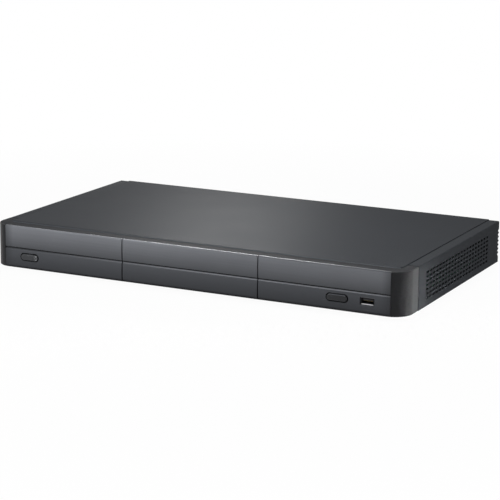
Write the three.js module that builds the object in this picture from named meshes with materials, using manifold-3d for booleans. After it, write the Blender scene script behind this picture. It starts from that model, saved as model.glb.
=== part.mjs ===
// Network media player: a slim folded-steel case with a moulded front, two push buttons and a USB socket.
// Lengths are in millimetres. X runs to the right, Y to the back and Z up.
// The origin is under the middle of the player, on the surface that its feet stand on.
import * as THREE from "three";
import { mergeVertices } from "three/addons/utils/BufferGeometryUtils.js";
import Module from "manifold-3d";

// Case: the body without its feet, measured from the front face and from its underside
const caseWidth = 430;
const caseDepth = 247.5;
const caseHeight = 41.7;
const sheet = 1;
const fit = 0.3;
const overrun = 2;
const arcSteps = 4;
const weld = 1e-4;

// Top cover: a raised panel between two lower edge strips, folded down at both sides
const stripWidth = 11;
const stripDrop = 1.3;
const stepRun = 0.4;
const stepInsetShare = 0.5;
const bendRadius = 2;
const bendSteps = 4;
const panelCorner = 6;
const flangeHeight = 8;
const flangeSetIn = 2;

// Vent slots in both sides of the cover, and the notches that carry their rows on to the rear edge
const ventColumns = 21;
const ventRows = 7;
const ventPitchAlong = 8;
const ventPitchUpShare = 0.096;
const ventFirstAlong = 53;
const ventFirstUpShare = 0.18;
const ventLength = 5.6;
const ventHeight = 1.9;
const notchDepth = 2.2;
const notchHeight = 2.4;

// Front bezel: rounded corners wrap back to an upright seam, a ledge lies in front of the raised panel
const cornerRadius = 18;
const cornerSteps = 8;
const edgeRound = 1;
const edgeSteps = 2;
const bezelWall = 2.4;
const earDepth = 30.5;
const earSeam = 1;
const ledgeDepth = 14.3;
const ledgeSupport = 5;
const bezelFloorDepth = 12;
const boardBossRadius = 2.6;
const boardBossCount = 4;
const boardBossSpreadShare = 0.3;

// Face plates: three in a row, each with a level groove under its upper band
const plateThickness = 2;
const plateGap = 0.2;
const plateMargin = 14.5;
const plateSeam = 1.2;
const plateFoot = 0.8;
const plateChamfer = 0.4;
const plateRound = 1;
const plateRoundSteps = 3;
const grooveCentre = 19.5;
const grooveHeight = 1.4;
const grooveDepth = 1.6;
const grooveLip = 0.8;
const plateCount = 3;
const bandCrown = 0.35;
const bandCrownSteps = 4;

// Push buttons: a crowned cap in an oblong opening, with a collar, a stem and a switch behind it
const buttonUp = 11.5;
const buttonHeight = 8;
const buttonSteps = 5;
const buttonGap = 1;
const capProud = 1.2;
const capCrown = 0.7;
const capCrownSteps = 2;
const collarRim = 1.3;
const collarThickness = 1;
const stemWidth = 3;
const buttonTravel = 0.8;
const powerButtonInset = 40.2;
const powerButtonWidth = 20.6;
const setupButtonInset = 65.5;
const setupButtonWidth = 22;
const lightWindowWidth = 4.4;

// Switches on the front board
const switchSide = 6;
const switchDepth = 3.4;
const plungerRadius = 1.6;
const plungerReach = 1.6;
const plungerGap = 0.2;
const plungerSides = 12;

// Circuit boards
const boardThickness = 1.6;
const frontBoardDistance = 14;
const frontBoardMargin = 22;
const frontBoardFoot = 2.7;
const frontBoardHeight = 14.5;
const boardSideGap = 10;
const mainBoardLeftShare = -0.098;
const mainBoardFrontShare = 0.388;
const supplyBoardRightShare = -0.237;
const supplyBoardFrontShare = 0.4525;
const boardBackGap = 1.4;
const postHeight = 6;
const postRadius = 3;
const postPinRadius = 1.4;
const postPinRise = 0.8;
const postInset = 6;
const postInsetBack = 18;
const postSides = 8;

// Chassis tray and rear panel
const trayLip = 5.2;
const trayCorner = 3;
const rearFlangeDepth = 8;

// Feet
const footHeight = 4;
const footRadius = 11;
const footTaper = 1.2;
const footRecessRadius = 4;
const footRecessDepth = 1.2;
const footPegRadius = 2.4;
const footPegRise = 1.5;
const footInsetAcross = 38;
const footInsetAlong = 36;
const footSides = 12;

// USB sockets: a folded metal shell round a plastic tongue
const usbWidth = 13.2;
const usbHeight = 6.2;
const usbWall = 0.5;
const usbDepth = 13.4;
const usbTongueWidth = 11;
const usbTongueThickness = 1.9;
const usbTongueSetBack = 2;
const usbTongueDrop = 0.7;
const usbBase = 2.6;
const frontUsbInset = 37;
const frontUsbUp = 11;
const frontUsbGap = 0.4;
const rearUsbAcrossShare = 0.005;

// HDMI socket: a shell with two slanted lower corners
const hdmiWidth = 15;
const hdmiHeight = 5.6;
const hdmiSlant = 1.9;
const hdmiWall = 0.5;
const hdmiDepth = 11;
const hdmiTongueWidth = 12;
const hdmiTongueThickness = 1.4;
const hdmiTongueSetBack = 1;
const hdmiBase = 2.2;
const hdmiAcrossShare = 0.0745;

// Network socket
const networkWidth = 16;
const networkHeight = 13.4;
const networkDepth = 21;
const networkMouthWidth = 11.9;
const networkMouthHeight = 6.8;
const networkMouthDepth = 13;
const networkMouthDrop = 2;
const networkKeyWidth = 6;
const networkKeyDrop = 1.7;
const networkContacts = 8;
const networkContactPitch = 1.27;
const networkContactWidth = 0.5;
const networkContactHang = 1.9;
const networkContactSetBack = 4;
const networkCarrier = 0.7;
const networkInset = 18;
const socketLift = 0.8;

// Round audio and video sockets: a plastic housing with cores, and a plate with metal sleeves round them
const sleeveRadius = 4.15;
const sleeveWall = 0.6;
const sleeveReach = 8.5;
const sleeveSides = 12;
const coreRadius = 3.3;
const coreSetBack = 0.8;
const coreBore = 1.6;
const coreBoreDepth = 8;
const coreSides = 10;
const sleevePlate = 0.6;
const socketPitch = 14;
const socketHousingWidth = 12;
const socketHousingHeight = 15;
const socketHousingDepth = 12;
const socketUp = 9.6;
const digitalAudioAcrossShare = 0.144;
const componentAcrossShare = 0.24;
const audioVideoAcrossShare = 0.379;
const oneSocket = [0];
const threeSockets = [-1, 0, 1];

// Mains inlet: an oblong recess with two round pins
const inletWidth = 22;
const inletHeight = 14;
const inletDepth = 19;
const inletMouthWidth = 17;
const inletMouthHeight = 9.2;
const inletMouthDepth = 13;
const inletCorner = 3;
const inletSteps = 2;
const inletInset = 35;
const mainsPinRadius = 1.2;
const mainsPinPitch = 8.6;
const mainsPinSetBack = 2.5;
const mainsPinRoot = 2;
const mainsPinSides = 10;

// Fan: a square frame with a round duct, and a rotor with seven blades
const fanSide = 30;
const fanDepth = 10;
const fanWall = 1;
const fanCorner = 3;
const fanAcrossShare = -0.1675;
const fanSides = 16;
const fanBossRadius = 6;
const fanBossThickness = 1.6;
const fanStrutWidth = 2.2;
const fanStruts = 3;
const fanTipGap = 0.8;
const fanAxialGap = 0.6;
const fanHubRadius = 6.2;
const fanHubSides = 12;
const fanShaftRadius = 1.2;
const fanShaftGap = 0.1;
const fanBlades = 7;
const fanBladeThickness = 0.8;
const fanBladeChord = 8;
const fanBladeTiltShare = 0.433;
const grillePitch = 4;
const grilleSlot = 2.2;
const grilleRib = 2;
const grilleRows = 7;

// Parts on the main board
const processorSide = 31;
const processorThickness = 2.4;
const heatSinkSide = 52;
const heatSinkBase = 3;
const heatSinkHeight = 20;
const heatSinkFins = 12;
const heatSinkFin = 1.4;
const processorAcrossShare = 0.163;
const processorAlongShare = 0.667;
const memoryWidth = 22;
const memoryDepth = 11;
const memoryThickness = 1.2;
const memorySpread = 16;
const memoryGapAlong = 12;

// Parts on the supply board
const transformerWidth = 33;
const transformerDepth = 28;
const transformerHeightShare = 0.81;
const transformerLimb = 7;
const transformerMiddleLimb = 9.8;
const transformerYoke = 6;
const windingGap = 0.3;
const transformerAcrossShare = -0.3255;
const transformerSetBack = 66;
const inputCapacitorRadius = 9;
const inputCapacitorHeightShare = 0.84;
const inputCapacitorInset = 29;
const inputCapacitorSetBack = 64;
const outputCapacitorRadius = 5;
const outputCapacitorHeight = 20;
const outputCapacitorAcrossShare = -0.2745;
const outputCapacitorSetBack = 94;
const outputCapacitorPitch = 14;
const capacitorGroove = 0.6;
const capacitorGrooveUp = 3;
const capacitorGrooveHeight = 1;
const capacitorRound = 0.8;
const capacitorSides = 10;
const chokeWidth = 20;
const chokeDepth = 16;
const chokeHeight = 17;
const chokeWindow = 4.5;
const chokeAcrossShare = -0.344;
const chokeSetBack = 26;
const supplySinkWidth = 34;
const supplySinkHeightShare = 0.78;
const supplySinkThickness = 2;
const supplySinkFoot = 9;
const supplySinkAcrossShare = -0.349;
const supplySinkSetBack = 106;
const fuseLength = 20;
const fuseRadius = 2.6;
const fuseCapLength = 4.5;
const fuseCapRim = 0.3;
const fuseClip = 1;
const fuseInset = 23;
const fuseSetBack = 32;

// Cables that the case holds all the way
const ribbonWidth = 22;
const ribbonThickness = 0.8;
const ribbonPlugDepth = 5;
const ribbonPlugHeight = 6;
const ribbonAcrossShare = 0.093;
const ribbonRise = 24;
const ribbonPlugSetBack = 10;
const ribbonSteps = 12;
const wireBundleRadius = 2.4;
const wireBundleSteps = 8;
const wireBundleSides = 8;
const wireBundleRise = 9;
const fanWireRadius = 1.1;
const fanWireSides = 6;
const fanWireSteps = 10;
const fanWireExitUp = 4;
const fanPlugInset = 5;
const wirePlugWidth = 7;
const wirePlugDepth = 16;
const wirePlugHeight = 7;
const wirePlugInset = 5;
const wireSetIn = 16;

// Screws that hold the cover's rear flange
const screwHeadRadius = 3;
const screwHeadTopRadius = 2.2;
const screwHeadHeight = 1.8;
const screwRadius = 1.4;
const screwLength = 7;
const screwCross = 0.9;
const screwCrossLength = 2.8;
const screwCrossDepth = 1;
const screwSides = 10;
const screwInset = 45;

// Small lamps and the remote-control receiver on the front board
const lampRadius = 1.5;
const lampLength = 2.6;
const lampSides = 12;
const receiverWidth = 6;
const receiverHeight = 7;
const receiverDepth = 4;
const receiverLens = 2.2;
const receiverAcrossShare = -0.07;

// Levels and distances that several pieces share
const stripLevel = caseHeight - stripDrop;
const panelHalf = caseWidth / 2 - stripWidth;
const innerTop = caseHeight - sheet;
const rearFace = caseDepth - sheet - fit;
const rearInside = rearFace - sheet;
const sleeveEnd = rearFace + sleeveReach;
const frontFace = -(capProud + sleeveEnd) / 2 + capProud;
const plateEnd = caseWidth / 2 - plateMargin;
const wallFront = plateThickness + plateGap;
const wallBack = wallFront + bezelWall;
const boardFoot = sheet + postHeight;
const boardTop = boardFoot + boardThickness;
const boardBack = rearInside - boardBackGap;
const roomAboveBoards = innerTop - boardTop;
const transformerHeight = roomAboveBoards * transformerHeightShare;
const inputCapacitorHeight = roomAboveBoards * inputCapacitorHeightShare;
const supplySinkHeight = roomAboveBoards * supplySinkHeightShare;
const trayFront = bezelFloorDepth + fit;
const trayHalfFront = caseWidth / 2 - bezelWall - fit * 2;
const trayHalfBack = caseWidth / 2 - sheet - fit;

// Places across the case: some keep their distance from a side, the others their share of the width
const powerButtonAcross = powerButtonInset - caseWidth / 2;
const setupButtonAcross = caseWidth / 2 - setupButtonInset;
const frontUsbAcross = caseWidth / 2 - frontUsbInset;
const inletAcross = inletInset - caseWidth / 2;
const inputCapacitorAcross = inputCapacitorInset - caseWidth / 2;
const fuseAcross = fuseInset - caseWidth / 2;
const screwAcross = caseWidth / 2 - screwInset;
const mainBoardLeft = caseWidth * mainBoardLeftShare;
const mainBoardRight = trayHalfBack - boardSideGap;
const supplyBoardLeft = boardSideGap - trayHalfBack;
const supplyBoardRight = caseWidth * supplyBoardRightShare;
const rearUsbAcross = caseWidth * rearUsbAcrossShare;
const hdmiAcross = caseWidth * hdmiAcrossShare;
const networkAcross = mainBoardLeft + networkInset;
const digitalAudioAcross = caseWidth * digitalAudioAcrossShare;
const componentAcross = caseWidth * componentAcrossShare;
const audioVideoAcross = caseWidth * audioVideoAcrossShare;
const fanAcross = caseWidth * fanAcrossShare;
const processorAcross = caseWidth * processorAcrossShare;
const transformerAcross = caseWidth * transformerAcrossShare;
const outputCapacitorAcross = caseWidth * outputCapacitorAcrossShare;
const chokeAcross = caseWidth * chokeAcrossShare;
const supplySinkAcross = caseWidth * supplySinkAcrossShare;
const ribbonAcross = caseWidth * ribbonAcrossShare;
const receiverAcross = caseWidth * receiverAcrossShare;

// Places along the case, from its front or from the boards' back edge
const mainBoardFront = caseDepth * mainBoardFrontShare;
const supplyBoardFront = caseDepth * supplyBoardFrontShare;
const processorAlong = caseDepth * processorAlongShare;
const transformerAlong = boardBack - transformerSetBack;
const inputCapacitorAlong = boardBack - inputCapacitorSetBack;
const outputCapacitorAlong = boardBack - outputCapacitorSetBack;
const chokeAlong = boardBack - chokeSetBack;
const supplySinkAlong = boardBack - supplySinkSetBack;
const fuseAlong = boardBack - fuseSetBack;
const wireAlong = supplyBoardFront + wireSetIn;

// Finishes
const graphitePaint = { color: 0x4b4d52, roughness: 0.62, metalness: 0.25 };
const graphitePlastic = { color: 0x3a3b3f, roughness: 0.45, metalness: 0.1 };
const brushedPlate = { color: 0x55585e, roughness: 0.42, metalness: 0.45 };
const buttonPlastic = { color: 0x3f4044, roughness: 0.35, metalness: 0.15 };
const bareSteel = { color: 0x9a9c9e, roughness: 0.4, metalness: 0.9 };
const brightSteel = { color: 0xc9cacc, roughness: 0.25, metalness: 1 };
const blackPlastic = { color: 0x17181a, roughness: 0.5, metalness: 0 };
const blackRubber = { color: 0x1b1b1c, roughness: 0.85, metalness: 0 };
const greenBoard = { color: 0x1f4d33, roughness: 0.5, metalness: 0 };
const blackAluminium = { color: 0x2b2c2e, roughness: 0.5, metalness: 0.7 };
const clearPlastic = { color: 0xd8dde2, roughness: 0.2, metalness: 0 };
const darkFerrite = { color: 0x2e2d2c, roughness: 0.75, metalness: 0.1 };
const yellowTape = { color: 0xc7a53a, roughness: 0.45, metalness: 0 };
const canSleeve = { color: 0x20242f, roughness: 0.35, metalness: 0 };
const goldContact = { color: 0xc9a04a, roughness: 0.35, metalness: 1 };
const greyCable = { color: 0x8f9194, roughness: 0.6, metalness: 0 };
const fuseGlass = { color: 0xdfe4e6, roughness: 0.1, metalness: 0 };

const quarterTurn = Math.PI / 2;
const quarterDegrees = THREE.MathUtils.radToDeg(quarterTurn);

const wasm = await Module();
wasm.setup();

// A closed geometry as a solid that can be joined and cut
function solidOf(geometry) {
  const bare = geometry.index ? geometry.toNonIndexed() : geometry.clone();
  bare.deleteAttribute("normal");
  bare.deleteAttribute("uv");
  const merged = mergeVertices(bare, weld);
  const vertProperties = merged.attributes.position.array;
  const triVerts = new Uint32Array(merged.index.array);
  return new wasm.Manifold(new wasm.Mesh({ numProp: 3, vertProperties, triVerts }));
}

// A finished solid as a named mesh with a finish of its own
function piece(name, solid, finish) {
  const { vertProperties, triVerts } = solid.getMesh();
  const geometry = new THREE.BufferGeometry();
  geometry.setAttribute("position", new THREE.BufferAttribute(vertProperties, 3));
  geometry.setIndex(new THREE.BufferAttribute(triVerts, 1));
  const flat = geometry.toNonIndexed();
  flat.computeVertexNormals();
  const mesh = new THREE.Mesh(flat, new THREE.MeshStandardMaterial(finish));
  mesh.name = name;
  return mesh;
}

const everyWay = [-caseWidth, caseWidth];

function join(solids) {
  return wasm.Manifold.union(solids);
}

// The two ends of a span of a given length about its middle
function about(middle, length) {
  return [middle - length / 2, middle + length / 2];
}

// A box between the ends of three spans
function block([x0, x1], [y0, y1], [z0, z1]) {
  const geometry = new THREE.BoxGeometry(x1 - x0, y1 - y0, z1 - z0);
  geometry.translate((x0 + x1) / 2, (y0 + y1) / 2, (z0 + z1) / 2);
  return solidOf(geometry);
}

// An outline in X and Y, extruded up
function extrudeUp(shape, [z0, z1]) {
  const geometry = new THREE.ExtrudeGeometry(shape, { depth: z1 - z0, bevelEnabled: false });
  geometry.translate(0, 0, z0);
  return solidOf(geometry);
}

// An outline in X and Z, extruded from front to back
function extrudeBack(shape, [y0, y1]) {
  const geometry = new THREE.ExtrudeGeometry(shape, { depth: y1 - y0, bevelEnabled: false });
  geometry.rotateX(quarterTurn);
  geometry.translate(0, y1, 0);
  return solidOf(geometry);
}

// An outline in Y and Z, extruded across the case
const acrossAxes = new THREE.Matrix4().makeBasis(
  new THREE.Vector3(0, 1, 0),
  new THREE.Vector3(0, 0, 1),
  new THREE.Vector3(1, 0, 0),
);
function extrudeAcross(shape, [x0, x1]) {
  const geometry = new THREE.ExtrudeGeometry(shape, { depth: x1 - x0, bevelEnabled: false });
  geometry.applyMatrix4(acrossAxes);
  geometry.translate(x0, 0, 0);
  return solidOf(geometry);
}

// A round rod or tube turned about Z: each pair is a radius and a height, from the foot round to the top
function turned(pairs, sides) {
  const points = pairs.map(([radius, height]) => new THREE.Vector2(radius, height));
  const geometry = new THREE.LatheGeometry(points, sides);
  geometry.rotateX(quarterTurn);
  return solidOf(geometry);
}

function rodUp(radius, [z0, z1], sides) {
  return turned([[0, z0], [radius, z0], [radius, z1], [0, z1]], sides);
}

function rodBack(radius, [y0, y1], sides) {
  return rodUp(radius, [-y1, -y0], sides).rotate([quarterDegrees, 0, 0]);
}

// A closed outline through the given points, without those that repeat the point before them
function outline(pairs) {
  const points = pairs.map(([x, y]) => new THREE.Vector2(x, y));
  return new THREE.Shape(points.filter((point, index) => point.distanceTo(points.at(index - 1)) > weld));
}

// Points along an arc, both ends included
function arc(x, y, radius, from, to, steps) {
  return Array.from({ length: steps + 1 }, (_, step) => {
    const angle = from + ((to - from) * step) / steps;
    return [x + radius * Math.cos(angle), y + radius * Math.sin(angle)];
  });
}

function rectangle(width, height) {
  return outline([
    [-width / 2, -height / 2],
    [width / 2, -height / 2],
    [width / 2, height / 2],
    [-width / 2, height / 2],
  ]);
}

// A rectangle with rounded corners about the origin; with the full radius it is an oblong with round ends
function roundedRectangle(width, height, radius, steps) {
  const across = width / 2 - radius;
  const up = height / 2 - radius;
  return outline([
    ...arc(across, up, radius, 0, quarterTurn, steps),
    ...arc(-across, up, radius, quarterTurn, quarterTurn * 2, steps),
    ...arc(-across, -up, radius, quarterTurn * 2, quarterTurn * 3, steps),
    ...arc(across, -up, radius, quarterTurn * 3, quarterTurn * 4, steps),
  ]);
}

function oblong(width, height) {
  return roundedRectangle(width, height, height / 2, buttonSteps);
}

// Half of the cover's folded outline at an inset from its skin, from the side's foot to the raised panel
function coverLine(inset) {
  const side = caseWidth / 2 - inset;
  const bend = bendRadius - inset;
  const level = stripLevel - inset;
  const panelEdge = panelHalf - inset * stepInsetShare;
  return [
    [side, 0],
    ...arc(side - bend, level - bend, bend, 0, quarterTurn, bendSteps),
    [panelEdge + stepRun, level],
    [panelEdge, caseHeight - inset],
  ];
}

function mirrored(line) {
  return line.map(([x, y]) => [-x, y]);
}

// The plan of the raised panel's front end, with rounded front corners
function panelPlan(back) {
  const across = panelHalf - panelCorner;
  const along = ledgeDepth + panelCorner;
  return outline([
    [-panelHalf, back],
    ...arc(-across, along, panelCorner, quarterTurn * 2, quarterTurn * 3, arcSteps),
    ...arc(across, along, panelCorner, quarterTurn * 3, quarterTurn * 4, arcSteps),
    [panelHalf, back],
  ]);
}

// A slot cut across both sides of the cover
function slotAcross(along, up, length, height) {
  return block(everyWay, about(along, length), about(up, height));
}

function makeTopCover() {
  const outer = coverLine(0);
  const inner = coverLine(sheet);
  const section = [
    ...outer,
    ...mirrored(outer).reverse(),
    ...mirrored(inner),
    ...inner.slice().reverse(),
  ];
  const sheetStart = earDepth + earSeam;
  const folded = extrudeBack(outline(section), [sheetStart, caseDepth]);
  const panelFront = extrudeUp(panelPlan(sheetStart + panelCorner), [innerTop, caseHeight]);
  const flange = block(
    about(0, (panelHalf - flangeSetIn) * 2),
    [caseDepth - sheet, caseDepth],
    [innerTop - flangeHeight, innerTop],
  );
  const cuts = [];
  for (let row = 0; row < ventRows; row++) {
    const up = caseHeight * (ventFirstUpShare + row * ventPitchUpShare);
    for (let column = 0; column < ventColumns; column++) {
      cuts.push(slotAcross(ventFirstAlong + column * ventPitchAlong, up, ventLength, ventHeight));
    }
    cuts.push(slotAcross(caseDepth, up, notchDepth * 2, notchHeight));
  }
  for (const across of screwPlaces) {
    cuts.push(rodBack(screwRadius + fit, [rearInside, caseDepth + overrun], screwSides)
      .translate([across, 0, screwUp]));
  }
  return join([folded, panelFront, flange]).subtract(join(cuts));
}

// Places of the screws through the cover's rear flange into the rear panel
const screwUp = innerTop - flangeHeight / 2;
const screwPlaces = [-screwAcross, 0, screwAcross];

// The screw's head faces the back: a tapered head with a cross recess, and a shank that runs to the front
function makeCoverScrew() {
  const blank = turned(
    [
      [0, -screwLength],
      [screwRadius, -screwLength],
      [screwRadius, 0],
      [screwHeadRadius, 0],
      [screwHeadTopRadius, screwHeadHeight],
      [0, screwHeadHeight],
    ],
    screwSides,
  );
  const deep = [screwHeadHeight - screwCrossDepth, screwHeadHeight + overrun];
  const arm = about(0, screwCrossLength);
  const slit = about(0, screwCross);
  const cross = join([block(arm, slit, deep), block(slit, arm, deep)]);
  return blank.subtract(cross).rotate([-quarterDegrees, 0, 0]);
}

// The plan of the bezel's wrap-round wall at an inset from its outer face
function wrapPlan(inset, back) {
  const side = caseWidth / 2 - inset;
  const radius = cornerRadius - inset;
  return outline([
    [-side, back],
    ...arc(-side + radius, cornerRadius, radius, quarterTurn * 2, quarterTurn * 3, cornerSteps),
    ...arc(side - radius, cornerRadius, radius, quarterTurn * 3, quarterTurn * 4, cornerSteps),
    [side, back],
  ]);
}

const blankBack = earDepth + overrun;

function bezelBlank() {
  const blank = new THREE.ExtrudeGeometry(wrapPlan(0, blankBack), {
    depth: stripLevel - edgeRound * 2,
    bevelThickness: edgeRound,
    bevelSize: edgeRound,
    bevelOffset: -edgeRound,
    bevelSegments: edgeSteps,
  });
  blank.translate(0, 0, edgeRound);
  return solidOf(blank);
}

const boardBossPlaces = Array.from({ length: boardBossCount }, (_, index) => {
  const place = index - (boardBossCount - 1) / 2;
  return place * boardBossSpreadShare * caseWidth;
});
const frontBoardUp = frontBoardFoot + frontBoardHeight / 2;

function makeFrontBezel() {
  const upright = [0, stripLevel];
  const ears = block(everyWay, [earDepth, blankBack + overrun], [-overrun, stripLevel + overrun]);
  const hollow = extrudeUp(
    wrapPlan(bezelWall, blankBack + overrun),
    [bezelWall, stripLevel - bezelWall],
  ).subtract(block(everyWay, [-overrun, wallBack], upright));
  const underside = block(
    about(0, (trayHalfFront + fit) * 2),
    [bezelFloorDepth, blankBack],
    [-overrun, bezelWall + overrun],
  );
  const coverSeat = block(
    about(0, (panelHalf - ledgeSupport) * 2),
    [ledgeDepth + ledgeSupport, blankBack],
    [stripLevel - bezelWall - overrun, stripLevel + overrun],
  );
  const plateSeat = block(
    about(0, (plateEnd + plateGap) * 2),
    [-overrun, wallFront],
    [plateFoot - plateGap, stripLevel + overrun],
  );
  const through = [wallFront - overrun, wallBack + overrun];
  const powerHole = extrudeBack(oblong(powerButtonWidth, buttonHeight), through)
    .translate([powerButtonAcross, 0, buttonUp]);
  const setupHole = extrudeBack(oblong(setupButtonWidth, buttonHeight), through)
    .translate([setupButtonAcross, 0, buttonUp]);
  const bosses = boardBossPlaces.map((across) =>
    rodBack(boardBossRadius, [wallBack - plateGap, frontBoardDistance - fit], postSides)
      .translate([across, 0, frontBoardUp]),
  );
  return bezelBlank()
    .subtract(join([ears, hollow, underside, coverSeat, plateSeat]))
    .add(join(bosses))
    .subtract(join([powerHole, setupHole, usbHole(through)]));
}

// The hole that the front USB socket's mouth stands in
function usbHole(through) {
  const mouth = rectangle(usbWidth + frontUsbGap * 2, usbHeight + frontUsbGap * 2);
  return extrudeBack(mouth, through).translate([frontUsbAcross, 0, frontUsbUp]);
}

// A band between two heights that swells gently to the front face in its middle
function crownedBand(low, high) {
  const points = [];
  for (let step = 0; step <= bandCrownSteps; step++) {
    const share = step / bandCrownSteps;
    const fromMiddle = share * 2 - 1;
    points.push([bandCrown * fromMiddle * fromMiddle, low + (high - low) * share]);
  }
  return points;
}

// The section of a face plate from its foot to the ledge, in Y and Z
function plateSection() {
  const grooveFoot = grooveCentre - grooveHeight / 2;
  const grooveTop = grooveCentre + grooveHeight / 2;
  const line = [
    [plateThickness, plateFoot],
    [bandCrown + plateChamfer, plateFoot],
    ...crownedBand(plateFoot + plateChamfer, grooveFoot - grooveLip),
    [bandCrown + grooveLip, grooveFoot],
    [grooveDepth, grooveFoot],
    [grooveDepth, grooveTop],
    ...crownedBand(grooveTop, stripLevel - plateRound),
  ];
  for (let step = 1; step <= plateRoundSteps; step++) {
    const angle = quarterTurn * (step / plateRoundSteps);
    const back = bandCrown + plateRound * (1 - Math.cos(angle));
    line.push([back, stripLevel - plateRound * (1 - Math.sin(angle))]);
  }
  line.push([plateThickness, stripLevel]);
  return outline(line.reverse());
}

// The seams stand at equal thirds of the case, and the outer plates end just inside the turn of the corners
function plateSpan(index) {
  const seam = caseWidth / plateCount / 2;
  const left = index === 0 ? -plateEnd : -seam + (index - 1) * seam * 2 + plateSeam / 2;
  const right = index === plateCount - 1 ? plateEnd : -seam + index * seam * 2 - plateSeam / 2;
  return [left, right];
}

function makeFacePlates() {
  const through = [-overrun, plateThickness + overrun];
  const powerHole = extrudeBack(oblong(powerButtonWidth, buttonHeight), through)
    .translate([powerButtonAcross, 0, buttonUp]);
  const setupHole = extrudeBack(oblong(setupButtonWidth, buttonHeight), through)
    .translate([setupButtonAcross, 0, buttonUp]);
  const turn = extrudeUp(wrapPlan(0, blankBack), [0, stripLevel + overrun]);
  const left = extrudeAcross(plateSection(), plateSpan(0)).intersect(turn).subtract(powerHole);
  const centre = extrudeAcross(plateSection(), plateSpan(1));
  const right = extrudeAcross(plateSection(), plateSpan(2))
    .intersect(turn)
    .subtract(setupHole)
    .subtract(usbHole(through));
  return [
    piece("face_plate_left", left, brushedPlate),
    piece("face_plate_centre", centre, brushedPlate),
    piece("face_plate_right", right, brushedPlate),
  ];
}

// Distances behind the front face along a button: collar, stem end, switch
const collarFront = wallBack + fit;
const switchFront = frontBoardDistance - switchDepth;
const plungerFront = switchFront - plungerReach;

// A crowned cap about the middle of its opening
function capBlank(width) {
  const height = buttonHeight - buttonGap * 2;
  const inner = oblong(width - buttonGap * 2 - capCrown * 2, height - capCrown * 2);
  const crowned = new THREE.ExtrudeGeometry(inner, {
    depth: capProud + collarFront,
    bevelThickness: capCrown,
    bevelSize: capCrown,
    bevelSegments: capCrownSteps,
  });
  crowned.rotateX(quarterTurn);
  crowned.translate(0, collarFront + capCrown, 0);
  const behind = [collarFront + collarThickness, collarFront + collarThickness + overrun];
  return solidOf(crowned).subtract(block(about(0, width), behind, about(0, buttonHeight)));
}

function makeButton(width) {
  const collar = extrudeBack(
    roundedRectangle(width + collarRim, buttonHeight + collarRim, buttonHeight / 2, arcSteps),
    [collarFront, collarFront + collarThickness],
  );
  const stem = block(about(0, stemWidth), [collarFront, plungerFront], about(0, stemWidth));
  return join([capBlank(width), collar, stem]);
}

// The power button gives up its right end to the light window
const windowEdge = powerButtonWidth / 2 - buttonGap - lightWindowWidth;

function makePowerButton() {
  const windowSide = block(
    [windowEdge - fit / 2, powerButtonWidth],
    [-capProud - overrun, collarFront + collarThickness + overrun],
    everyWay,
  );
  return makeButton(powerButtonWidth).subtract(windowSide);
}

function makeLightGuide() {
  const capHalf = powerButtonWidth / 2 - buttonGap;
  const window = capBlank(powerButtonWidth).intersect(
    block([windowEdge + fit / 2, capHalf], [-capProud + capCrown, collarFront], about(0, buttonHeight)),
  );
  const guide = rodBack(lampRadius, [collarFront - fit, frontBoardDistance - lampLength - fit], lampSides)
    .translate([windowEdge + lightWindowWidth / 2, 0, 0]);
  return window.add(guide);
}

function makePlunger() {
  return rodBack(plungerRadius, [0, plungerReach + plungerGap], plungerSides);
}

function makeSwitch() {
  const housing = block(about(0, switchSide), [switchFront, frontBoardDistance], about(0, switchSide));
  const well = rodBack(
    plungerRadius + plungerGap,
    [switchFront - overrun, switchFront + buttonTravel + plungerGap * 2],
    plungerSides,
  );
  return housing.subtract(well);
}

// One push button with what it drives: the cap and its plunger move, the switch stays on the board
function makeButtonGroup(prefix, across, cap) {
  const group = new THREE.Group();
  group.position.set(across, 0, buttonUp);
  const plunger = piece(prefix + "_switch_plunger", makePlunger(), blackPlastic);
  plunger.position.y = plungerFront;
  group.add(piece(prefix + "_button", cap, buttonPlastic));
  group.add(plunger);
  group.add(piece(prefix + "_switch", makeSwitch(), bareSteel));
  return group;
}

function makeFrontBoard() {
  return block(
    about(0, caseWidth - frontBoardMargin * 2),
    [frontBoardDistance, frontBoardDistance + boardThickness],
    [frontBoardFoot, frontBoardFoot + frontBoardHeight],
  );
}

function makeLamp() {
  return rodBack(lampRadius, [frontBoardDistance - lampLength, frontBoardDistance], lampSides);
}

function makeReceiver() {
  const front = frontBoardDistance - receiverDepth;
  const body = block(about(0, receiverWidth), [front, frontBoardDistance], about(0, receiverHeight));
  const lens = rodBack(receiverLens, [front - receiverLens / 2, front + receiverLens / 2], postSides);
  return body.add(lens);
}

// The plan of the tray: narrower between the bezel's ears than between the cover's sides
function trayPlan(inset, back) {
  const step = earDepth + earSeam;
  return outline([
    [-trayHalfFront + inset + trayCorner, trayFront + inset],
    [trayHalfFront - inset - trayCorner, trayFront + inset],
    [trayHalfFront - inset, trayFront + inset + trayCorner],
    [trayHalfFront - inset, step + inset],
    [trayHalfBack - inset, step + inset],
    [trayHalfBack - inset, back],
    [-trayHalfBack + inset, back],
    [-trayHalfBack + inset, step + inset],
    [-trayHalfFront + inset, step + inset],
    [-trayHalfFront + inset, trayFront + inset + trayCorner],
  ]);
}

// The four posts that carry a board, set in from its corners
function postPlaces(left, right, front) {
  return [left + postInset, right - postInset].flatMap((across) =>
    [front + postInset, boardBack - postInsetBack].map((along) => [across, along]),
  );
}

const mainPosts = postPlaces(mainBoardLeft, mainBoardRight, mainBoardFront);
const supplyPosts = postPlaces(supplyBoardLeft, supplyBoardRight, supplyBoardFront);
const footAlongBack = rearFace - footInsetAlong;
const footPlaces = [
  ["foot_front_left", -1, footInsetAlong],
  ["foot_front_right", 1, footInsetAlong],
  ["foot_back_left", -1, footAlongBack],
  ["foot_back_right", 1, footAlongBack],
].map(([name, hand, along]) => [name, hand * (caseWidth / 2 - footInsetAcross), along]);

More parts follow.
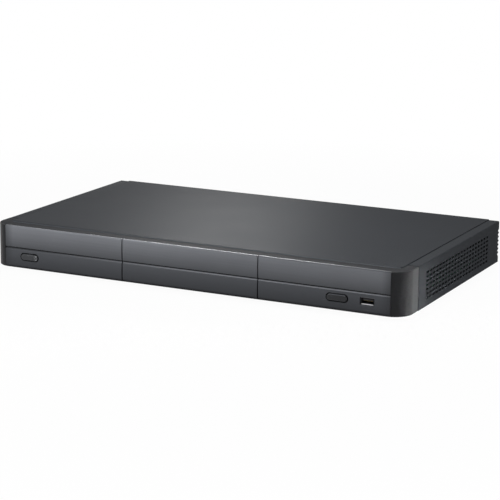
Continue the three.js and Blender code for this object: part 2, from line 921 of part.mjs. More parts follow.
function makeTray() {
  const shell = extrudeUp(trayPlan(0, rearFace), [0, trayLip]);
  const inside = extrudeUp(trayPlan(sheet, rearFace + overrun), [sheet, trayLip + overrun]);
  const posts = [...mainPosts, ...supplyPosts].map(([across, along]) =>
    turned(
      [
        [0, sheet / 2],
        [postRadius, sheet / 2],
        [postRadius, boardFoot],
        [postPinRadius, boardFoot],
        [postPinRadius, boardTop + postPinRise],
        [0, boardTop + postPinRise],
      ],
      postSides,
    ).translate([across, along, 0]),
  );
  const footHoles = footPlaces.map(([, across, along]) =>
    rodUp(footPegRadius + fit, [-overrun, sheet + overrun], footSides).translate([across, along, 0]),
  );
  return shell.subtract(inside).add(join(posts)).subtract(join(footHoles));
}

// A board on its posts, with a clear hole for each post's pin
function makeBoard(left, right, front, posts) {
  const through = [boardFoot - overrun, boardTop + overrun];
  const holes = posts.map(([across, along]) =>
    rodUp(postPinRadius + fit, through, postSides).translate([across, along, 0]),
  );
  return block([left, right], [front, boardBack], [boardFoot, boardTop]).subtract(join(holes));
}

// Tapered foot with a recess in its underside and a peg that the tray's hole holds
function makeFoot() {
  const pegTop = footHeight + sheet + footPegRise;
  return turned(
    [
      [0, footRecessDepth],
      [footRecessRadius, footRecessDepth],
      [footRecessRadius, 0],
      [footRadius - footTaper, 0],
      [footRadius, footHeight],
      [footPegRadius, footHeight],
      [footPegRadius, pegTop],
      [0, pegTop],
    ],
    footSides,
  );
}

// Heights of the rear sockets' middles above the case's underside
const usbUp = boardTop + socketLift + usbHeight / 2;
const hdmiUp = boardTop + socketLift + hdmiHeight / 2;
const networkUp = boardTop + networkHeight / 2;
const roundSocketUp = boardTop + socketUp;
const inletUp = boardTop + inletHeight / 2;
const fanUp = sheet * 2 + fit + fanSide / 2;

function makeGrille(through) {
  const radius = fanSide / 2 - fanWall;
  const slots = [];
  for (let row = 0; row < grilleRows; row++) {
    const up = (row - (grilleRows - 1) / 2) * grillePitch;
    const half = Math.sqrt(radius ** 2 - (Math.abs(up) + grilleSlot / 2) ** 2);
    for (const hand of [-1, 1]) {
      const span = [(hand * grilleRib) / 2, hand * half].sort((a, b) => a - b);
      slots.push(block(span, through, about(up, grilleSlot)));
    }
  }
  return join(slots).translate([fanAcross, 0, fanUp]);
}

function roundSocketPlaces() {
  return [
    ...oneSocket.map((step) => digitalAudioAcross + step * socketPitch),
    ...threeSockets.map((step) => componentAcross + step * socketPitch),
    ...threeSockets.map((step) => audioVideoAcross + step * socketPitch),
  ];
}

function makeRearPanel() {
  const through = [rearInside - overrun, rearFace + overrun];
  const betweenLips = about(0, (trayHalfBack - sheet - fit) * 2);
  const aboveLips = [trayLip + fit, stripLevel - sheet - fit];
  const upright = block(about(0, trayHalfBack * 2), [rearInside, rearFace], aboveLips);
  const lower = block(betweenLips, [rearInside, rearFace], [sheet, trayLip + overrun]);
  const foot = block(betweenLips, [rearFace - rearFlangeDepth, rearFace], [sheet, sheet * 2]);
  const window = (across, up, width, height) =>
    extrudeBack(rectangle(width + fit * 2, height + fit * 2), through).translate([across, 0, up]);
  const round = (across, radius, up) => rodBack(radius, through, sleeveSides).translate([across, 0, up]);
  const cuts = [
    makeGrille(through),
    window(inletAcross, inletUp, inletWidth, inletHeight),
    window(networkAcross, networkUp, networkWidth, networkHeight),
    window(rearUsbAcross, usbUp, usbWidth, usbHeight),
    window(hdmiAcross, hdmiUp, hdmiWidth, hdmiHeight),
    ...roundSocketPlaces().map((across) => round(across, sleeveRadius + fit, roundSocketUp)),
    ...screwPlaces.map((across) => round(across, screwRadius + fit, screwUp)),
  ];
  return join([upright, lower, foot]).subtract(join(cuts));
}

// A USB socket about its middle line, with its mouth at Y 0 and its length running to +Y
function makeUsbShell() {
  const outside = extrudeBack(rectangle(usbWidth, usbHeight), [0, usbDepth]);
  const inside = rectangle(usbWidth - usbWall * 2, usbHeight - usbWall * 2);
  return outside.subtract(extrudeBack(inside, [-overrun, usbDepth + overrun]));
}

function makeUsbTongue() {
  const play = fit / 2;
  const base = block(
    about(0, usbWidth - usbWall * 2 - play * 2),
    [usbDepth - usbBase, usbDepth],
    about(0, usbHeight - usbWall * 2 - play * 2),
  );
  const top = usbHeight / 2 - usbWall - usbTongueDrop;
  const tongue = block(
    about(0, usbTongueWidth),
    [usbTongueSetBack, usbDepth - usbBase],
    [top - usbTongueThickness, top],
  );
  return base.add(tongue);
}

// The HDMI mouth: wide above, with slanted lower corners
function hdmiOutline(inset) {
  const half = hdmiWidth / 2 - inset;
  const top = hdmiHeight / 2 - inset;
  const slant = hdmiSlant - inset / 2;
  return outline([
    [-half, top],
    [-half, top - slant],
    [-half + slant, -top],
    [half - slant, -top],
    [half, top - slant],
    [half, top],
  ]);
}

function makeHdmiShell() {
  const inside = extrudeBack(hdmiOutline(hdmiWall), [-overrun, hdmiDepth + overrun]);
  return extrudeBack(hdmiOutline(0), [0, hdmiDepth]).subtract(inside);
}

function makeHdmiTongue() {
  const base = extrudeBack(hdmiOutline(hdmiWall + fit / 2), [hdmiDepth - hdmiBase, hdmiDepth]);
  const tongue = block(
    about(0, hdmiTongueWidth),
    [hdmiTongueSetBack, hdmiDepth - hdmiBase],
    about(0, hdmiTongueThickness),
  );
  return base.add(tongue);
}

// The network jack: a block with a stepped mouth whose key side lies below
function makeNetworkJack() {
  const body = block(about(0, networkWidth), [0, networkDepth], about(0, networkHeight));
  const mouthTop = networkHeight / 2 - networkMouthDrop;
  const mouthFoot = mouthTop - networkMouthHeight;
  const mouth = outline([
    [-networkMouthWidth / 2, mouthTop],
    [-networkMouthWidth / 2, mouthFoot],
    [-networkKeyWidth / 2, mouthFoot],
    [-networkKeyWidth / 2, mouthFoot - networkKeyDrop],
    [networkKeyWidth / 2, mouthFoot - networkKeyDrop],
    [networkKeyWidth / 2, mouthFoot],
    [networkMouthWidth / 2, mouthFoot],
    [networkMouthWidth / 2, mouthTop],
  ]);
  return body.subtract(extrudeBack(mouth, [-overrun, networkMouthDepth]));
}

// Eight contacts in a row under the mouth's ceiling, moulded into a thin carrier
function makeNetworkContacts() {
  const ceiling = networkHeight / 2 - networkMouthDrop - fit / 2;
  const back = networkMouthDepth - fit / 2;
  const carrier = block(
    about(0, networkContactPitch * networkContacts),
    [networkContactSetBack, back],
    [ceiling - networkCarrier, ceiling],
  );
  const blades = Array.from({ length: networkContacts }, (_, index) => {
    const across = (index - (networkContacts - 1) / 2) * networkContactPitch;
    const side = outline([
      [networkContactSetBack, ceiling - networkCarrier / 2],
      [networkContactSetBack, ceiling - networkCarrier],
      [back, ceiling - networkContactHang],
      [back, ceiling - networkCarrier / 2],
    ]);
    return extrudeAcross(side, about(across, networkContactWidth));
  });
  return join([carrier, ...blades]);
}

// Round sockets face the back, so these are built with the sleeve running to +Y from the sleeve plate at Y 0
function makeSleeves(steps) {
  const outer = rodBack(sleeveRadius, [0, sleeveLength], sleeveSides);
  const bore = rodBack(sleeveRadius - sleeveWall, [-overrun, sleeveLength + overrun], coreSides);
  const plate = block(socketRowSpan(steps), [0, sleevePlate], about(0, socketHousingWidth));
  return plate.add(socketRow(steps, outer)).subtract(socketRow(steps, bore));
}

// Copies of one solid at the pitch of the sockets
function socketRow(steps, solid) {
  return join(steps.map((step) => solid.translate([step * socketPitch, 0, 0])));
}

function socketRowSpan(steps) {
  return about(0, socketPitch * (steps.length - 1) + socketHousingWidth);
}

function makeSocketHousing(steps) {
  const tall = [-socketUp, socketHousingHeight - socketUp];
  const body = block(socketRowSpan(steps), [-socketHousingDepth, -fit / 2], tall);
  const coreEnd = sleeveLength - coreSetBack;
  const core = rodBack(coreRadius, [-overrun, coreEnd], coreSides);
  const bore = rodBack(coreBore, [coreEnd - coreBoreDepth, coreEnd + overrun], coreSides);
  return body.add(socketRow(steps, core)).subtract(socketRow(steps, bore));
}

const sleevePlateBack = rearInside - fit;
const sleeveLength = sleeveEnd - sleevePlateBack + sleevePlate;

function makeRoundSockets(names, across, steps) {
  const group = new THREE.Group();
  group.position.set(across, sleevePlateBack - sleevePlate, roundSocketUp);
  group.add(piece(names + "_housing", makeSocketHousing(steps), blackPlastic));
  group.add(piece(names + (steps.length > 1 ? "_sleeves" : "_sleeve"), makeSleeves(steps), brightSteel));
  return group;
}

// The mains inlet faces the back: its mouth is at Y 0 here and its length runs to -Y
function makeMainsInlet() {
  const body = block(about(0, inletWidth), [-inletDepth, 0], about(0, inletHeight));
  const mouth = extrudeBack(
    roundedRectangle(inletMouthWidth, inletMouthHeight, inletCorner, inletSteps),
    [-inletMouthDepth, overrun],
  );
  const pinHoles = [-1, 1].map((hand) =>
    rodBack(
      mainsPinRadius + fit / 2,
      [-inletMouthDepth - mainsPinRoot, -inletMouthDepth + overrun],
      mainsPinSides,
    ).translate([(hand * mainsPinPitch) / 2, 0, 0]),
  );
  return body.subtract(mouth).subtract(join(pinHoles));
}

function makeMainsPin() {
  return rodBack(mainsPinRadius, [-inletMouthDepth - mainsPinRoot, -mainsPinSetBack], mainsPinSides);
}

// Fan frame about the rotor's axis, from its front face at Y 0 to its back face
function makeFanFrame() {
  const body = extrudeBack(roundedRectangle(fanSide, fanSide, fanCorner, arcSteps), [0, fanDepth]);
  const duct = rodBack(fanSide / 2 - fanWall, [-overrun, fanDepth + overrun], fanSides);
  const boss = rodBack(fanBossRadius, [fanDepth - fanBossThickness, fanDepth], fanHubSides);
  const struts = Array.from({ length: fanStruts }, (_, index) =>
    block(about(0, fanStrutWidth), [fanDepth - fanBossThickness, fanDepth], [0, fanSide / 2 - fanWall / 2])
      .rotate([0, (quarterDegrees * 4 * index) / fanStruts, 0]),
  );
  const shaftHole = rodBack(fanShaftRadius + fanShaftGap, [0, fanDepth + overrun], fanHubSides);
  return body.subtract(duct).add(join([boss, ...struts])).subtract(shaftHole);
}

// Rotor: a cup-like hub, seven pitched blades trimmed to a round tip, and a shaft into the frame's boss
function makeFanRotor() {
  const hubLength = [fanAxialGap, fanDepth - fanBossThickness - fanAxialGap];
  const hub = rodBack(fanHubRadius, hubLength, fanHubSides);
  const shaft = rodBack(fanShaftRadius, [fanAxialGap, fanDepth - fit], fanHubSides);
  const blades = Array.from({ length: fanBlades }, (_, index) =>
    block(about(0, fanBladeThickness), about(0, fanBladeChord), [fanHubRadius / 2, fanSide / 2])
      .rotate([0, 0, quarterDegrees * fanBladeTiltShare])
      .translate([0, (hubLength[0] + hubLength[1]) / 2, 0])
      .rotate([0, (quarterDegrees * 4 * index) / fanBlades, 0]),
  );
  const sweep = rodBack(fanSide / 2 - fanWall - fanTipGap, hubLength, fanSides);
  return join(blades).intersect(sweep).add(join([hub, shaft]));
}

// A finned sink: upright fins in a row on one flat base
function makeHeatSink() {
  const pitch = (heatSinkSide - heatSinkFin) / (heatSinkFins - 1);
  const depth = about(0, heatSinkSide);
  const base = block(about(0, heatSinkSide), depth, [0, heatSinkBase]);
  const fins = Array.from({ length: heatSinkFins }, (_, index) => {
    const across = (index - (heatSinkFins - 1) / 2) * pitch;
    return block(about(across, heatSinkFin), depth, [heatSinkBase / 2, heatSinkHeight]);
  });
  return join([base, ...fins]);
}

const transformerWindow = (transformerWidth - transformerMiddleLimb) / 2 - transformerLimb;

// Two E-shaped core halves as one window frame with a middle limb, and the wound bobbin round that limb
function makeTransformerCore() {
  const body = block(about(0, transformerWidth), about(0, transformerLimb * 2), [0, transformerHeight]);
  const windows = [-1, 1].map((hand) =>
    block(
      about((hand * (transformerMiddleLimb + transformerWindow)) / 2, transformerWindow),
      about(0, transformerDepth),
      [transformerYoke, transformerHeight - transformerYoke],
    ),
  );
  return body.subtract(join(windows));
}

function makeTransformerWinding() {
  const inner = transformerMiddleLimb + windingGap * 2;
  const outer = inner + (transformerWindow - windingGap * 2) * 2;
  const span = [transformerYoke + windingGap, transformerHeight - transformerYoke - windingGap];
  const corner = transformerLimb / 2;
  const wound = extrudeUp(roundedRectangle(outer, transformerDepth, corner, arcSteps), span);
  const limb = block(about(0, inner), about(0, transformerLimb * 2 + windingGap * 2), [0, transformerHeight]);
  return wound.subtract(limb);
}

// An upright can with a rolled groove near its foot and a rounded top rim
function makeCapacitor(radius, height) {
  return turned(
    [
      [0, 0],
      [radius, 0],
      [radius, capacitorGrooveUp],
      [radius - capacitorGroove, capacitorGrooveUp + capacitorGrooveHeight / 2],
      [radius, capacitorGrooveUp + capacitorGrooveHeight],
      [radius, height - capacitorRound],
      [radius - capacitorRound, height],
      [0, height],
    ],
    capacitorSides,
  );
}

function makeChoke() {
  const body = block(about(0, chokeWidth), about(0, chokeDepth), [0, chokeHeight]);
  const middle = chokeHeight / 2;
  const window = block(about(0, chokeWindow), about(0, chokeDepth + overrun), about(middle, chokeWindow));
  return body.subtract(window);
}

function makeSupplySink() {
  const plate = block(about(0, supplySinkWidth), [0, supplySinkThickness], [0, supplySinkHeight]);
  const foot = block(about(0, supplySinkWidth), [0, supplySinkFoot], [0, supplySinkThickness]);
  return plate.add(foot);
}

// A glass fuse lying along Y between two clips that stand on the board
function makeFuse() {
  const half = fuseLength / 2;
  const cap = [half - fuseCapLength, half];
  const up = fuseRadius + fuseCapRim + fuseClip;
  const glass = rodBack(fuseRadius, [-half, half], lampSides);
  const ends = [-1, 1].map((hand) => {
    const span = cap.map((place) => place * hand).sort((a, b) => a - b);
    const rim = rodBack(fuseRadius + fuseCapRim, span, lampSides);
    const clip = block(about(0, fuseRadius * 2), span, [-up, 0]);
    return rim.add(clip);
  });
  return join([glass, ...ends]).translate([0, 0, up]);
}

// A flat cable drawn as a thin strap along a curve in Y and Z, with a plug at each end
function makeRibbonCable() {
  const startAlong = frontBoardDistance + boardThickness + fit;
  const startUp = frontBoardUp;
  const plugFront = [startAlong, startAlong + ribbonPlugDepth];
  const endAlong = mainBoardFront + ribbonPlugSetBack;
  const plugTop = boardTop + fit / 2 + ribbonPlugHeight;
  const from = new THREE.Vector2(plugFront[1] - ribbonThickness, startUp);
  const to = new THREE.Vector2(endAlong, plugTop - ribbonThickness);
  const curve = new THREE.CubicBezierCurve(
    from,
    new THREE.Vector2(from.x + (to.x - from.x) / 2, from.y),
    new THREE.Vector2(to.x, to.y + ribbonRise),
    to,
  );
  const left = [];
  const right = [];
  for (let step = 0; step <= ribbonSteps; step++) {
    const point = curve.getPoint(step / ribbonSteps);
    const tangent = curve.getTangent(step / ribbonSteps);
    const across = new THREE.Vector2(-tangent.y, tangent.x).multiplyScalar(ribbonThickness / 2);
    left.push([point.x + across.x, point.y + across.y]);
    right.push([point.x - across.x, point.y - across.y]);
  }
  const strap = extrudeAcross(outline([...right, ...left.reverse()]), about(0, ribbonWidth));
  const plugSpan = about(0, ribbonWidth + ribbonThickness * 2);
  const frontPlug = block(plugSpan, plugFront, about(startUp, ribbonPlugHeight));
  const backPlug = block(plugSpan, about(endAlong, ribbonPlugDepth), [boardTop, plugTop]);
  return join([strap, frontPlug, backPlug]);
}

// A round lead that bows up between two points at one distance from the front
function makeLead(radius, sides, steps, along, [fromAcross, fromUp], [toAcross, toUp]) {
  const third = (toAcross - fromAcross) / 3;
  const curve = new THREE.CubicBezierCurve3(
    new THREE.Vector3(fromAcross, along, fromUp),
    new THREE.Vector3(fromAcross + third, along, fromUp + wireBundleRise),
    new THREE.Vector3(toAcross - third, along, toUp + wireBundleRise),
    new THREE.Vector3(toAcross, along, toUp),
  );
  const round = outline(arc(0, 0, radius, 0, quarterTurn * 4, sides));
  return solidOf(new THREE.ExtrudeGeometry(round, { extrudePath: curve, steps }));
}

function makeWirePlug(across, along, depth) {
  return block(about(across, wirePlugWidth), about(along, depth), [boardTop, boardTop + wirePlugHeight]);
}

// A bundle of wires between the two boards, with a plug at each end
function makeSupplyCable() {
  const from = supplyBoardRight - wirePlugInset;
  const to = mainBoardLeft + wirePlugInset;
  const exit = boardTop + wirePlugHeight / 2;
  const ends = [[from, exit], [to, exit]];
  const lead = makeLead(wireBundleRadius, wireBundleSides, wireBundleSteps, wireAlong, ...ends);
  const plugs = [from, to].map((across) => makeWirePlug(across, wireAlong, wirePlugDepth));
  return join([lead, ...plugs]);
}

// The fan's lead: it lies against the frame's side and ends in a plug on the main board
function makeFanCable() {
  const start = [fanAcross + fanSide / 2 + fit + fanWireRadius, fanUp - fanSide / 2 + fanWireExitUp];
  const to = mainBoardLeft + fanPlugInset;
  const exit = boardTop + wirePlugHeight / 2;
  const along = rearInside - fit - fanDepth / 2;
  const lead = makeLead(fanWireRadius, fanWireSides, fanWireSteps, along, start, [to, exit]);
  return lead.add(makeWirePlug(to, along, wirePlugWidth));
}

function place(mesh, across, along, up) {
  mesh.position.set(across, along, up);
  return mesh;
}

function makeCase() {
  const group = new THREE.Group();
  group.add(piece("chassis_tray", makeTray(), bareSteel));
  group.add(piece("rear_panel", makeRearPanel(), graphitePaint));
  group.add(piece("top_cover", makeTopCover(), graphitePaint));
  for (const [name, across, along] of footPlaces) {
    group.add(place(piece(name, makeFoot(), blackRubber), across, along, -footHeight));
  }
  ["cover_screw_left", "cover_screw_centre", "cover_screw_right"].forEach((name, index) => {
    group.add(place(piece(name, makeCoverScrew(), bareSteel), screwPlaces[index], caseDepth, screwUp));
  });
  return group;
}

function makeFront() {
  const group = new THREE.Group();
  group.add(piece("front_bezel", makeFrontBezel(), graphitePlastic));
  group.add(...makeFacePlates());
  group.add(makeButtonGroup("power", powerButtonAcross, makePowerButton()));
  group.add(makeButtonGroup("setup", setupButtonAcross, makeButton(setupButtonWidth)));
  group.add(place(piece("light_guide", makeLightGuide(), clearPlastic), powerButtonAcross, 0, buttonUp));
  const lampAcross = powerButtonAcross + windowEdge + lightWindowWidth / 2;
  group.add(place(piece("power_lamp", makeLamp(), clearPlastic), lampAcross, 0, buttonUp));
  group.add(place(piece("remote_receiver", makeReceiver(), blackPlastic), receiverAcross, 0, frontBoardUp));
  group.add(piece("front_board", makeFrontBoard(), greenBoard));
  const usb = new THREE.Group();
  usb.position.set(frontUsbAcross, frontBoardDistance - usbDepth, frontUsbUp);
  usb.add(piece("front_usb_shell", makeUsbShell(), brightSteel));
  usb.add(piece("front_usb_tongue", makeUsbTongue(), blackPlastic));
  group.add(usb);
  return group;
}

// A socket with its mouth flush with the rear panel's outer face, turned to face the back
function makeRearSocket(across, up, meshes) {
  const group = new THREE.Group();
  group.position.set(across, rearFace, up);
  group.rotation.z = Math.PI;
  group.add(...meshes);
  return group;
}

function makeRearSockets() {
  const group = new THREE.Group();
  group.add(makeRearSocket(rearUsbAcross, usbUp, [
    piece("rear_usb_shell", makeUsbShell(), brightSteel),
    piece("rear_usb_tongue", makeUsbTongue(), blackPlastic),
  ]));
  group.add(makeRearSocket(hdmiAcross, hdmiUp, [
    piece("hdmi_shell", makeHdmiShell(), brightSteel),
    piece("hdmi_tongue", makeHdmiTongue(), blackPlastic),
  ]));
  group.add(makeRearSocket(networkAcross, networkUp, [
    piece("network_jack", makeNetworkJack(), blackPlastic),
    piece("network_contacts", makeNetworkContacts(), goldContact),
  ]));
  group.add(makeRoundSockets("digital_audio_socket", digitalAudioAcross, oneSocket));
  group.add(makeRoundSockets("component_socket", componentAcross, threeSockets));
  group.add(makeRoundSockets("audio_video_socket", audioVideoAcross, threeSockets));
  return group;
}

function makeMainBoardParts() {
  const group = new THREE.Group();
  const board = makeBoard(mainBoardLeft, mainBoardRight, mainBoardFront, mainPosts);
  group.add(piece("main_board", board, greenBoard));
  const processor = block(about(0, processorSide), about(0, processorSide), [0, processorThickness]);
  group.add(place(piece("processor", processor, blackPlastic), processorAcross, processorAlong, boardTop));
  const sink = piece("processor_heat_sink", makeHeatSink(), blackAluminium);
  group.add(place(sink, processorAcross, processorAlong, boardTop + processorThickness));
  const memoryAlong = processorAlong - heatSinkSide / 2 - memoryGapAlong;
  for (const [name, hand] of [["memory_chip_left", -1], ["memory_chip_right", 1]]) {
    const chip = block(about(0, memoryWidth), about(0, memoryDepth), [0, memoryThickness]);
    const across = processorAcross + hand * memorySpread;
    group.add(place(piece(name, chip, blackPlastic), across, memoryAlong, boardTop));
  }
  return group;
}

function makeSupply() {
  const group = new THREE.Group();
  const board = makeBoard(supplyBoardLeft, supplyBoardRight, supplyBoardFront, supplyPosts);
  group.add(piece("supply_board", board, greenBoard));
  const onBoard = (name, solid, finish, across, along) =>
    group.add(place(piece(name, solid, finish), across, along, boardTop));
  onBoard("transformer_core", makeTransformerCore(), darkFerrite, transformerAcross, transformerAlong);
  onBoard("transformer_winding", makeTransformerWinding(), yellowTape, transformerAcross, transformerAlong);
  onBoard("input_capacitor", makeCapacitor(inputCapacitorRadius, inputCapacitorHeight), canSleeve,
    inputCapacitorAcross, inputCapacitorAlong);
  ["output_capacitor_front", "output_capacitor_back"].forEach((name, index) => {
    onBoard(name, makeCapacitor(outputCapacitorRadius, outputCapacitorHeight), canSleeve,
      outputCapacitorAcross, outputCapacitorAlong + index * outputCapacitorPitch);
  });
  onBoard("line_filter_choke", makeChoke(), darkFerrite, chokeAcross, chokeAlong);
  onBoard("supply_heat_sink", makeSupplySink(), blackAluminium, supplySinkAcross, supplySinkAlong);
  onBoard("fuse", makeFuse(), fuseGlass, fuseAcross, fuseAlong);
  group.add(place(piece("mains_inlet", makeMainsInlet(), blackPlastic), inletAcross, rearFace, inletUp));
  for (const [name, hand] of [["mains_pin_left", -1], ["mains_pin_right", 1]]) {
    const across = inletAcross + (hand * mainsPinPitch) / 2;
    group.add(place(piece(name, makeMainsPin(), brightSteel), across, rearFace, inletUp));
  }
  return group;
}

function makeFan() {
  const group = new THREE.Group();
  group.position.set(fanAcross, rearInside - fit - fanDepth, fanUp);
  group.add(piece("fan_frame", makeFanFrame(), blackPlastic));
  group.add(piece("fan_rotor", makeFanRotor(), blackPlastic));
  return group;
}

function makeCables() {
  const group = new THREE.Group();
  group.add(place(piece("ribbon_cable", makeRibbonCable(), greyCable), ribbonAcross, 0, 0));
  group.add(piece("supply_cable", makeSupplyCable(), greyCable));
  group.add(piece("fan_cable", makeFanCable(), greyCable));
  return group;
}

const player = new THREE.Group();
player.position.set(0, frontFace, footHeight);
player.add(makeCase(), makeFront(), makeMainBoardParts(), makeSupply());
player.add(makeFan(), makeCables(), makeRearSockets());

export default new THREE.Group().add(player);
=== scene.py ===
# %% [markdown]
# A network media player
#
# A slim steel case with a moulded front. The solids of the case, its sockets and its moving buttons come
# packed from a CAD model. This lesson dresses them: it keeps what is right, and gives each visible piece
# the rounded edges, fine openings and finishes of the real one.

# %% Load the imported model
import math

import bmesh
import bpy
from mathutils import Matrix, Vector


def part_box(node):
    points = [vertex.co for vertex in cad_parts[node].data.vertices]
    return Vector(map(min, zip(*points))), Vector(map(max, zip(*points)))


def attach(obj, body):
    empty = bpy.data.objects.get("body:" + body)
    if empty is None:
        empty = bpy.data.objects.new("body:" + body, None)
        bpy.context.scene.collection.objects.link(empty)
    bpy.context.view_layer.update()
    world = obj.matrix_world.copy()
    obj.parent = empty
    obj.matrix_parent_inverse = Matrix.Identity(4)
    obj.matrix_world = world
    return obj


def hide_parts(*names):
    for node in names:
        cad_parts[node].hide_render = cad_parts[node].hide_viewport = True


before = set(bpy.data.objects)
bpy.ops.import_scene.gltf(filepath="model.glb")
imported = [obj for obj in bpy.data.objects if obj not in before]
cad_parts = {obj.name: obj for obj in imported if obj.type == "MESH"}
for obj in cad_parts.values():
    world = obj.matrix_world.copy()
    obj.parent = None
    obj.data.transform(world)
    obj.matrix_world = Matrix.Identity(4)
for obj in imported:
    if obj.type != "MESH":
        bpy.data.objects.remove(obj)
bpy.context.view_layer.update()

scene = bpy.context.scene

# %% [markdown]
# A maker measures a case from its front face and its underside, in millimetres. Blender works in metres
# about the middle of the whole player. One small function turns the first into the second, so every size
# below reads as it would on a drawing.

# %% Case coordinates
MM = 0.001
front_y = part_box("face_plate_centre")[0].y
bezel_low, bezel_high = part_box("front_bezel")
cover_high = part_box("top_cover")[1]
under_z = bezel_low.z


def at(x, y, z):
    return Vector((x * MM, front_y + y * MM, under_z + z * MM))


def depth_y(y):
    return at(0, y, 0).y


def height_z(z):
    return at(0, 0, z).z


def about(middle, half):
    """A pair of places, as far to one side of a middle as to the other."""
    return (middle - half, middle + half)


half_width = bezel_high.x / MM
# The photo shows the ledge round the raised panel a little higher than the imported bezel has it
ledge_lift = 0.6
strip_level = (bezel_high.z - under_z) / MM + ledge_lift
case_height = (cover_high.z - under_z) / MM
case_depth = (cover_high.y - front_y) / MM
print("case:", round(half_width * 2, 2), round(case_depth, 2), round(case_height, 2), "mm")

# %% [markdown]
# The camera stands to the right of the player and a little above it, far away with a long lens, so the
# edges run nearly parallel. It could be moved by eye until the picture fits. Instead two angles, a distance
# and a small roll were solved from the edges of the real one, and the camera's place follows from them.

# %% Camera
azimuth, elevation, roll = (math.radians(angle) for angle in (26.094, 13.128, 0.585))
target = Vector((0.02516, -0.04965, 0.02941))
distance = 1.82397
focal_share = 3.83213

back = Vector((
    math.sin(azimuth) * math.cos(elevation),
    -math.cos(azimuth) * math.cos(elevation),
    math.sin(elevation),
))
level = Vector((math.cos(azimuth), math.sin(azimuth), 0))
upright = back.cross(level)
across = level * math.cos(roll) + upright * math.sin(roll)
up = upright * math.cos(roll) - level * math.sin(roll)
pose = Matrix((across, up, back)).transposed().to_4x4()
pose.translation = target + back * distance

camera = bpy.data.objects.new("camera", bpy.data.cameras.new("camera"))
camera.data.sensor_width = 36
camera.data.lens = camera.data.sensor_width * focal_share
camera.matrix_world = pose
scene.collection.objects.link(camera)
scene.camera = camera
print("camera at", [round(c, 3) for c in camera.location], "lens", round(camera.data.lens, 1))

# %% [markdown]
# Shader maths could be laid out node by node, but then one sum takes many lines. It reads best as a plain
# expression. The class below wraps one output socket, and its operators add Math nodes, so `1 - mask * 0.3`
# builds the nodes that it says.

# %% Shader expressions
class Value:
    """An output socket that takes part in sums."""

    def __init__(self, tree, socket):
        self.tree = tree
        self.socket = socket

    def math(self, operation, first, second=0.0, clamp=False):
        settings = {"operation": operation, "use_clamp": clamp}
        return self.tree.add("ShaderNodeMath", settings, {0: first, 1: second})

    def __add__(self, other):
        return self.math("ADD", self, other)

    def __sub__(self, other):
        return self.math("SUBTRACT", self, other)

    def __rsub__(self, other):
        return self.math("SUBTRACT", other, self)

    def __mul__(self, other):
        return self.math("MULTIPLY", self, other)

    def above(self, limit):
        return self.math("GREATER_THAN", self, limit)

    def between(self, low, high):
        """One above the low limit and up to the high one, otherwise zero."""
        return self.above(low) * (1 - self.above(high))

    def clamped(self):
        return self.math("ADD", self, 0.0, clamp=True)

    def rising(self, start, end):
        """Climbs from zero at the start to one at the end, and stays level outside."""
        return ((self - start) * (1 / (end - start))).clamped()

    def swing(self, width):
        """A value that wanders about one half, as a swing about zero of so wide a span."""
        return (self - 0.5) * width

    __radd__ = __add__
    __rmul__ = __mul__


print("shader sums ready")

# %% [markdown]
# A material and the world each own a tree of nodes. The nodes could be made and linked one by one in the
# script, but then the finish is hard to see for the links. So one method adds any node, from its type, its
# settings, which are set first, and the values or links of its inputs.

# %% Node trees
class Nodes:
    """The node tree of a material or of the world."""

    def __init__(self, owner, output):
        self.owner = owner
        owner.use_nodes = True
        self.tree = owner.node_tree
        self.tree.nodes.clear()
        self.output = self.tree.nodes.new(output)

    def add(self, kind, settings=None, inputs=None, output=0):
        node = self.tree.nodes.new(kind)
        for key, value in (settings or {}).items():
            setattr(node, key, value)
        for key, value in (inputs or {}).items():
            self.put(node.inputs[key], value)
        return Value(self, node.outputs[output])

    def put(self, socket, value):
        if isinstance(value, Value):
            self.tree.links.new(value.socket, socket)
        else:
            socket.default_value = value

    def end(self, value):
        self.put(self.output.inputs["Surface"], value)


print("node trees ready")

# %% [markdown]
# A finish is a material that ends in a Principled shader. Its patterns could follow a map of each piece,
# but these pieces are small and plain. So its noises and bumps are placed on the object's own coordinates,
# at their real scales in millimetres, and a finish keeps its grain on a piece of any size.

# %% Finishes
class Finish(Nodes):
    """A material with a Principled shader, to whose inputs values are fed."""

    def __init__(self, name, **constants):
        super().__init__(bpy.data.materials.new(name), "ShaderNodeOutputMaterial")
        surface = self.add("ShaderNodeBsdfPrincipled")
        self.shader = surface.socket.node
        self.end(surface)
        self.place = self.add("ShaderNodeTexCoord", output="Object")
        self.feed(**constants)

    def feed(self, **inputs):
        for key, value in inputs.items():
            name = key.replace("_", " ").title().replace("Ior", "IOR")
            self.put(self.shader.inputs[name], value)

    def mapped(self, per_millimetre, stretch=(1, 1, 1)):
        """The place on the piece, scaled to so many units to the millimetre along each axis."""
        scale = [per_millimetre * share / MM for share in stretch]
        return self.add("ShaderNodeMapping", {}, {"Vector": self.place, "Scale": scale})

    def noise(self, per_millimetre, detail=2.0, stretch=(1, 1, 1)):
        """Smooth random values with so many waves to the millimetre along each axis."""
        waves = self.mapped(per_millimetre, stretch)
        return self.add("ShaderNodeTexNoise", {}, {"Vector": waves, "Scale": 1.0, "Detail": detail})

    def mix(self, share, first, second):
        return self.add("ShaderNodeMix", {"data_type": "RGBA"}, {0: share, 6: first, 7: second}, output=2)

    def tinted(self, share, colour, low, high):
        """A colour that changes with a share, from one tint of it to another."""
        return self.mix(share, tone(colour, low), tone(colour, high))

    def bump(self, height, depth_mm, strength=1.0):
        inputs = {"Height": height, "Distance": depth_mm * MM, "Strength": strength}
        self.feed(normal=self.add("ShaderNodeBump", {}, inputs))

    def along(self, axis):
        """Where a point lies along one axis, in metres."""
        return self.add("ShaderNodeSeparateXYZ", {}, {0: self.place}, output=axis)


def tone(colour, share=1.0):
    return [channel * share for channel in colour] + [1.0]


print("finishes ready")

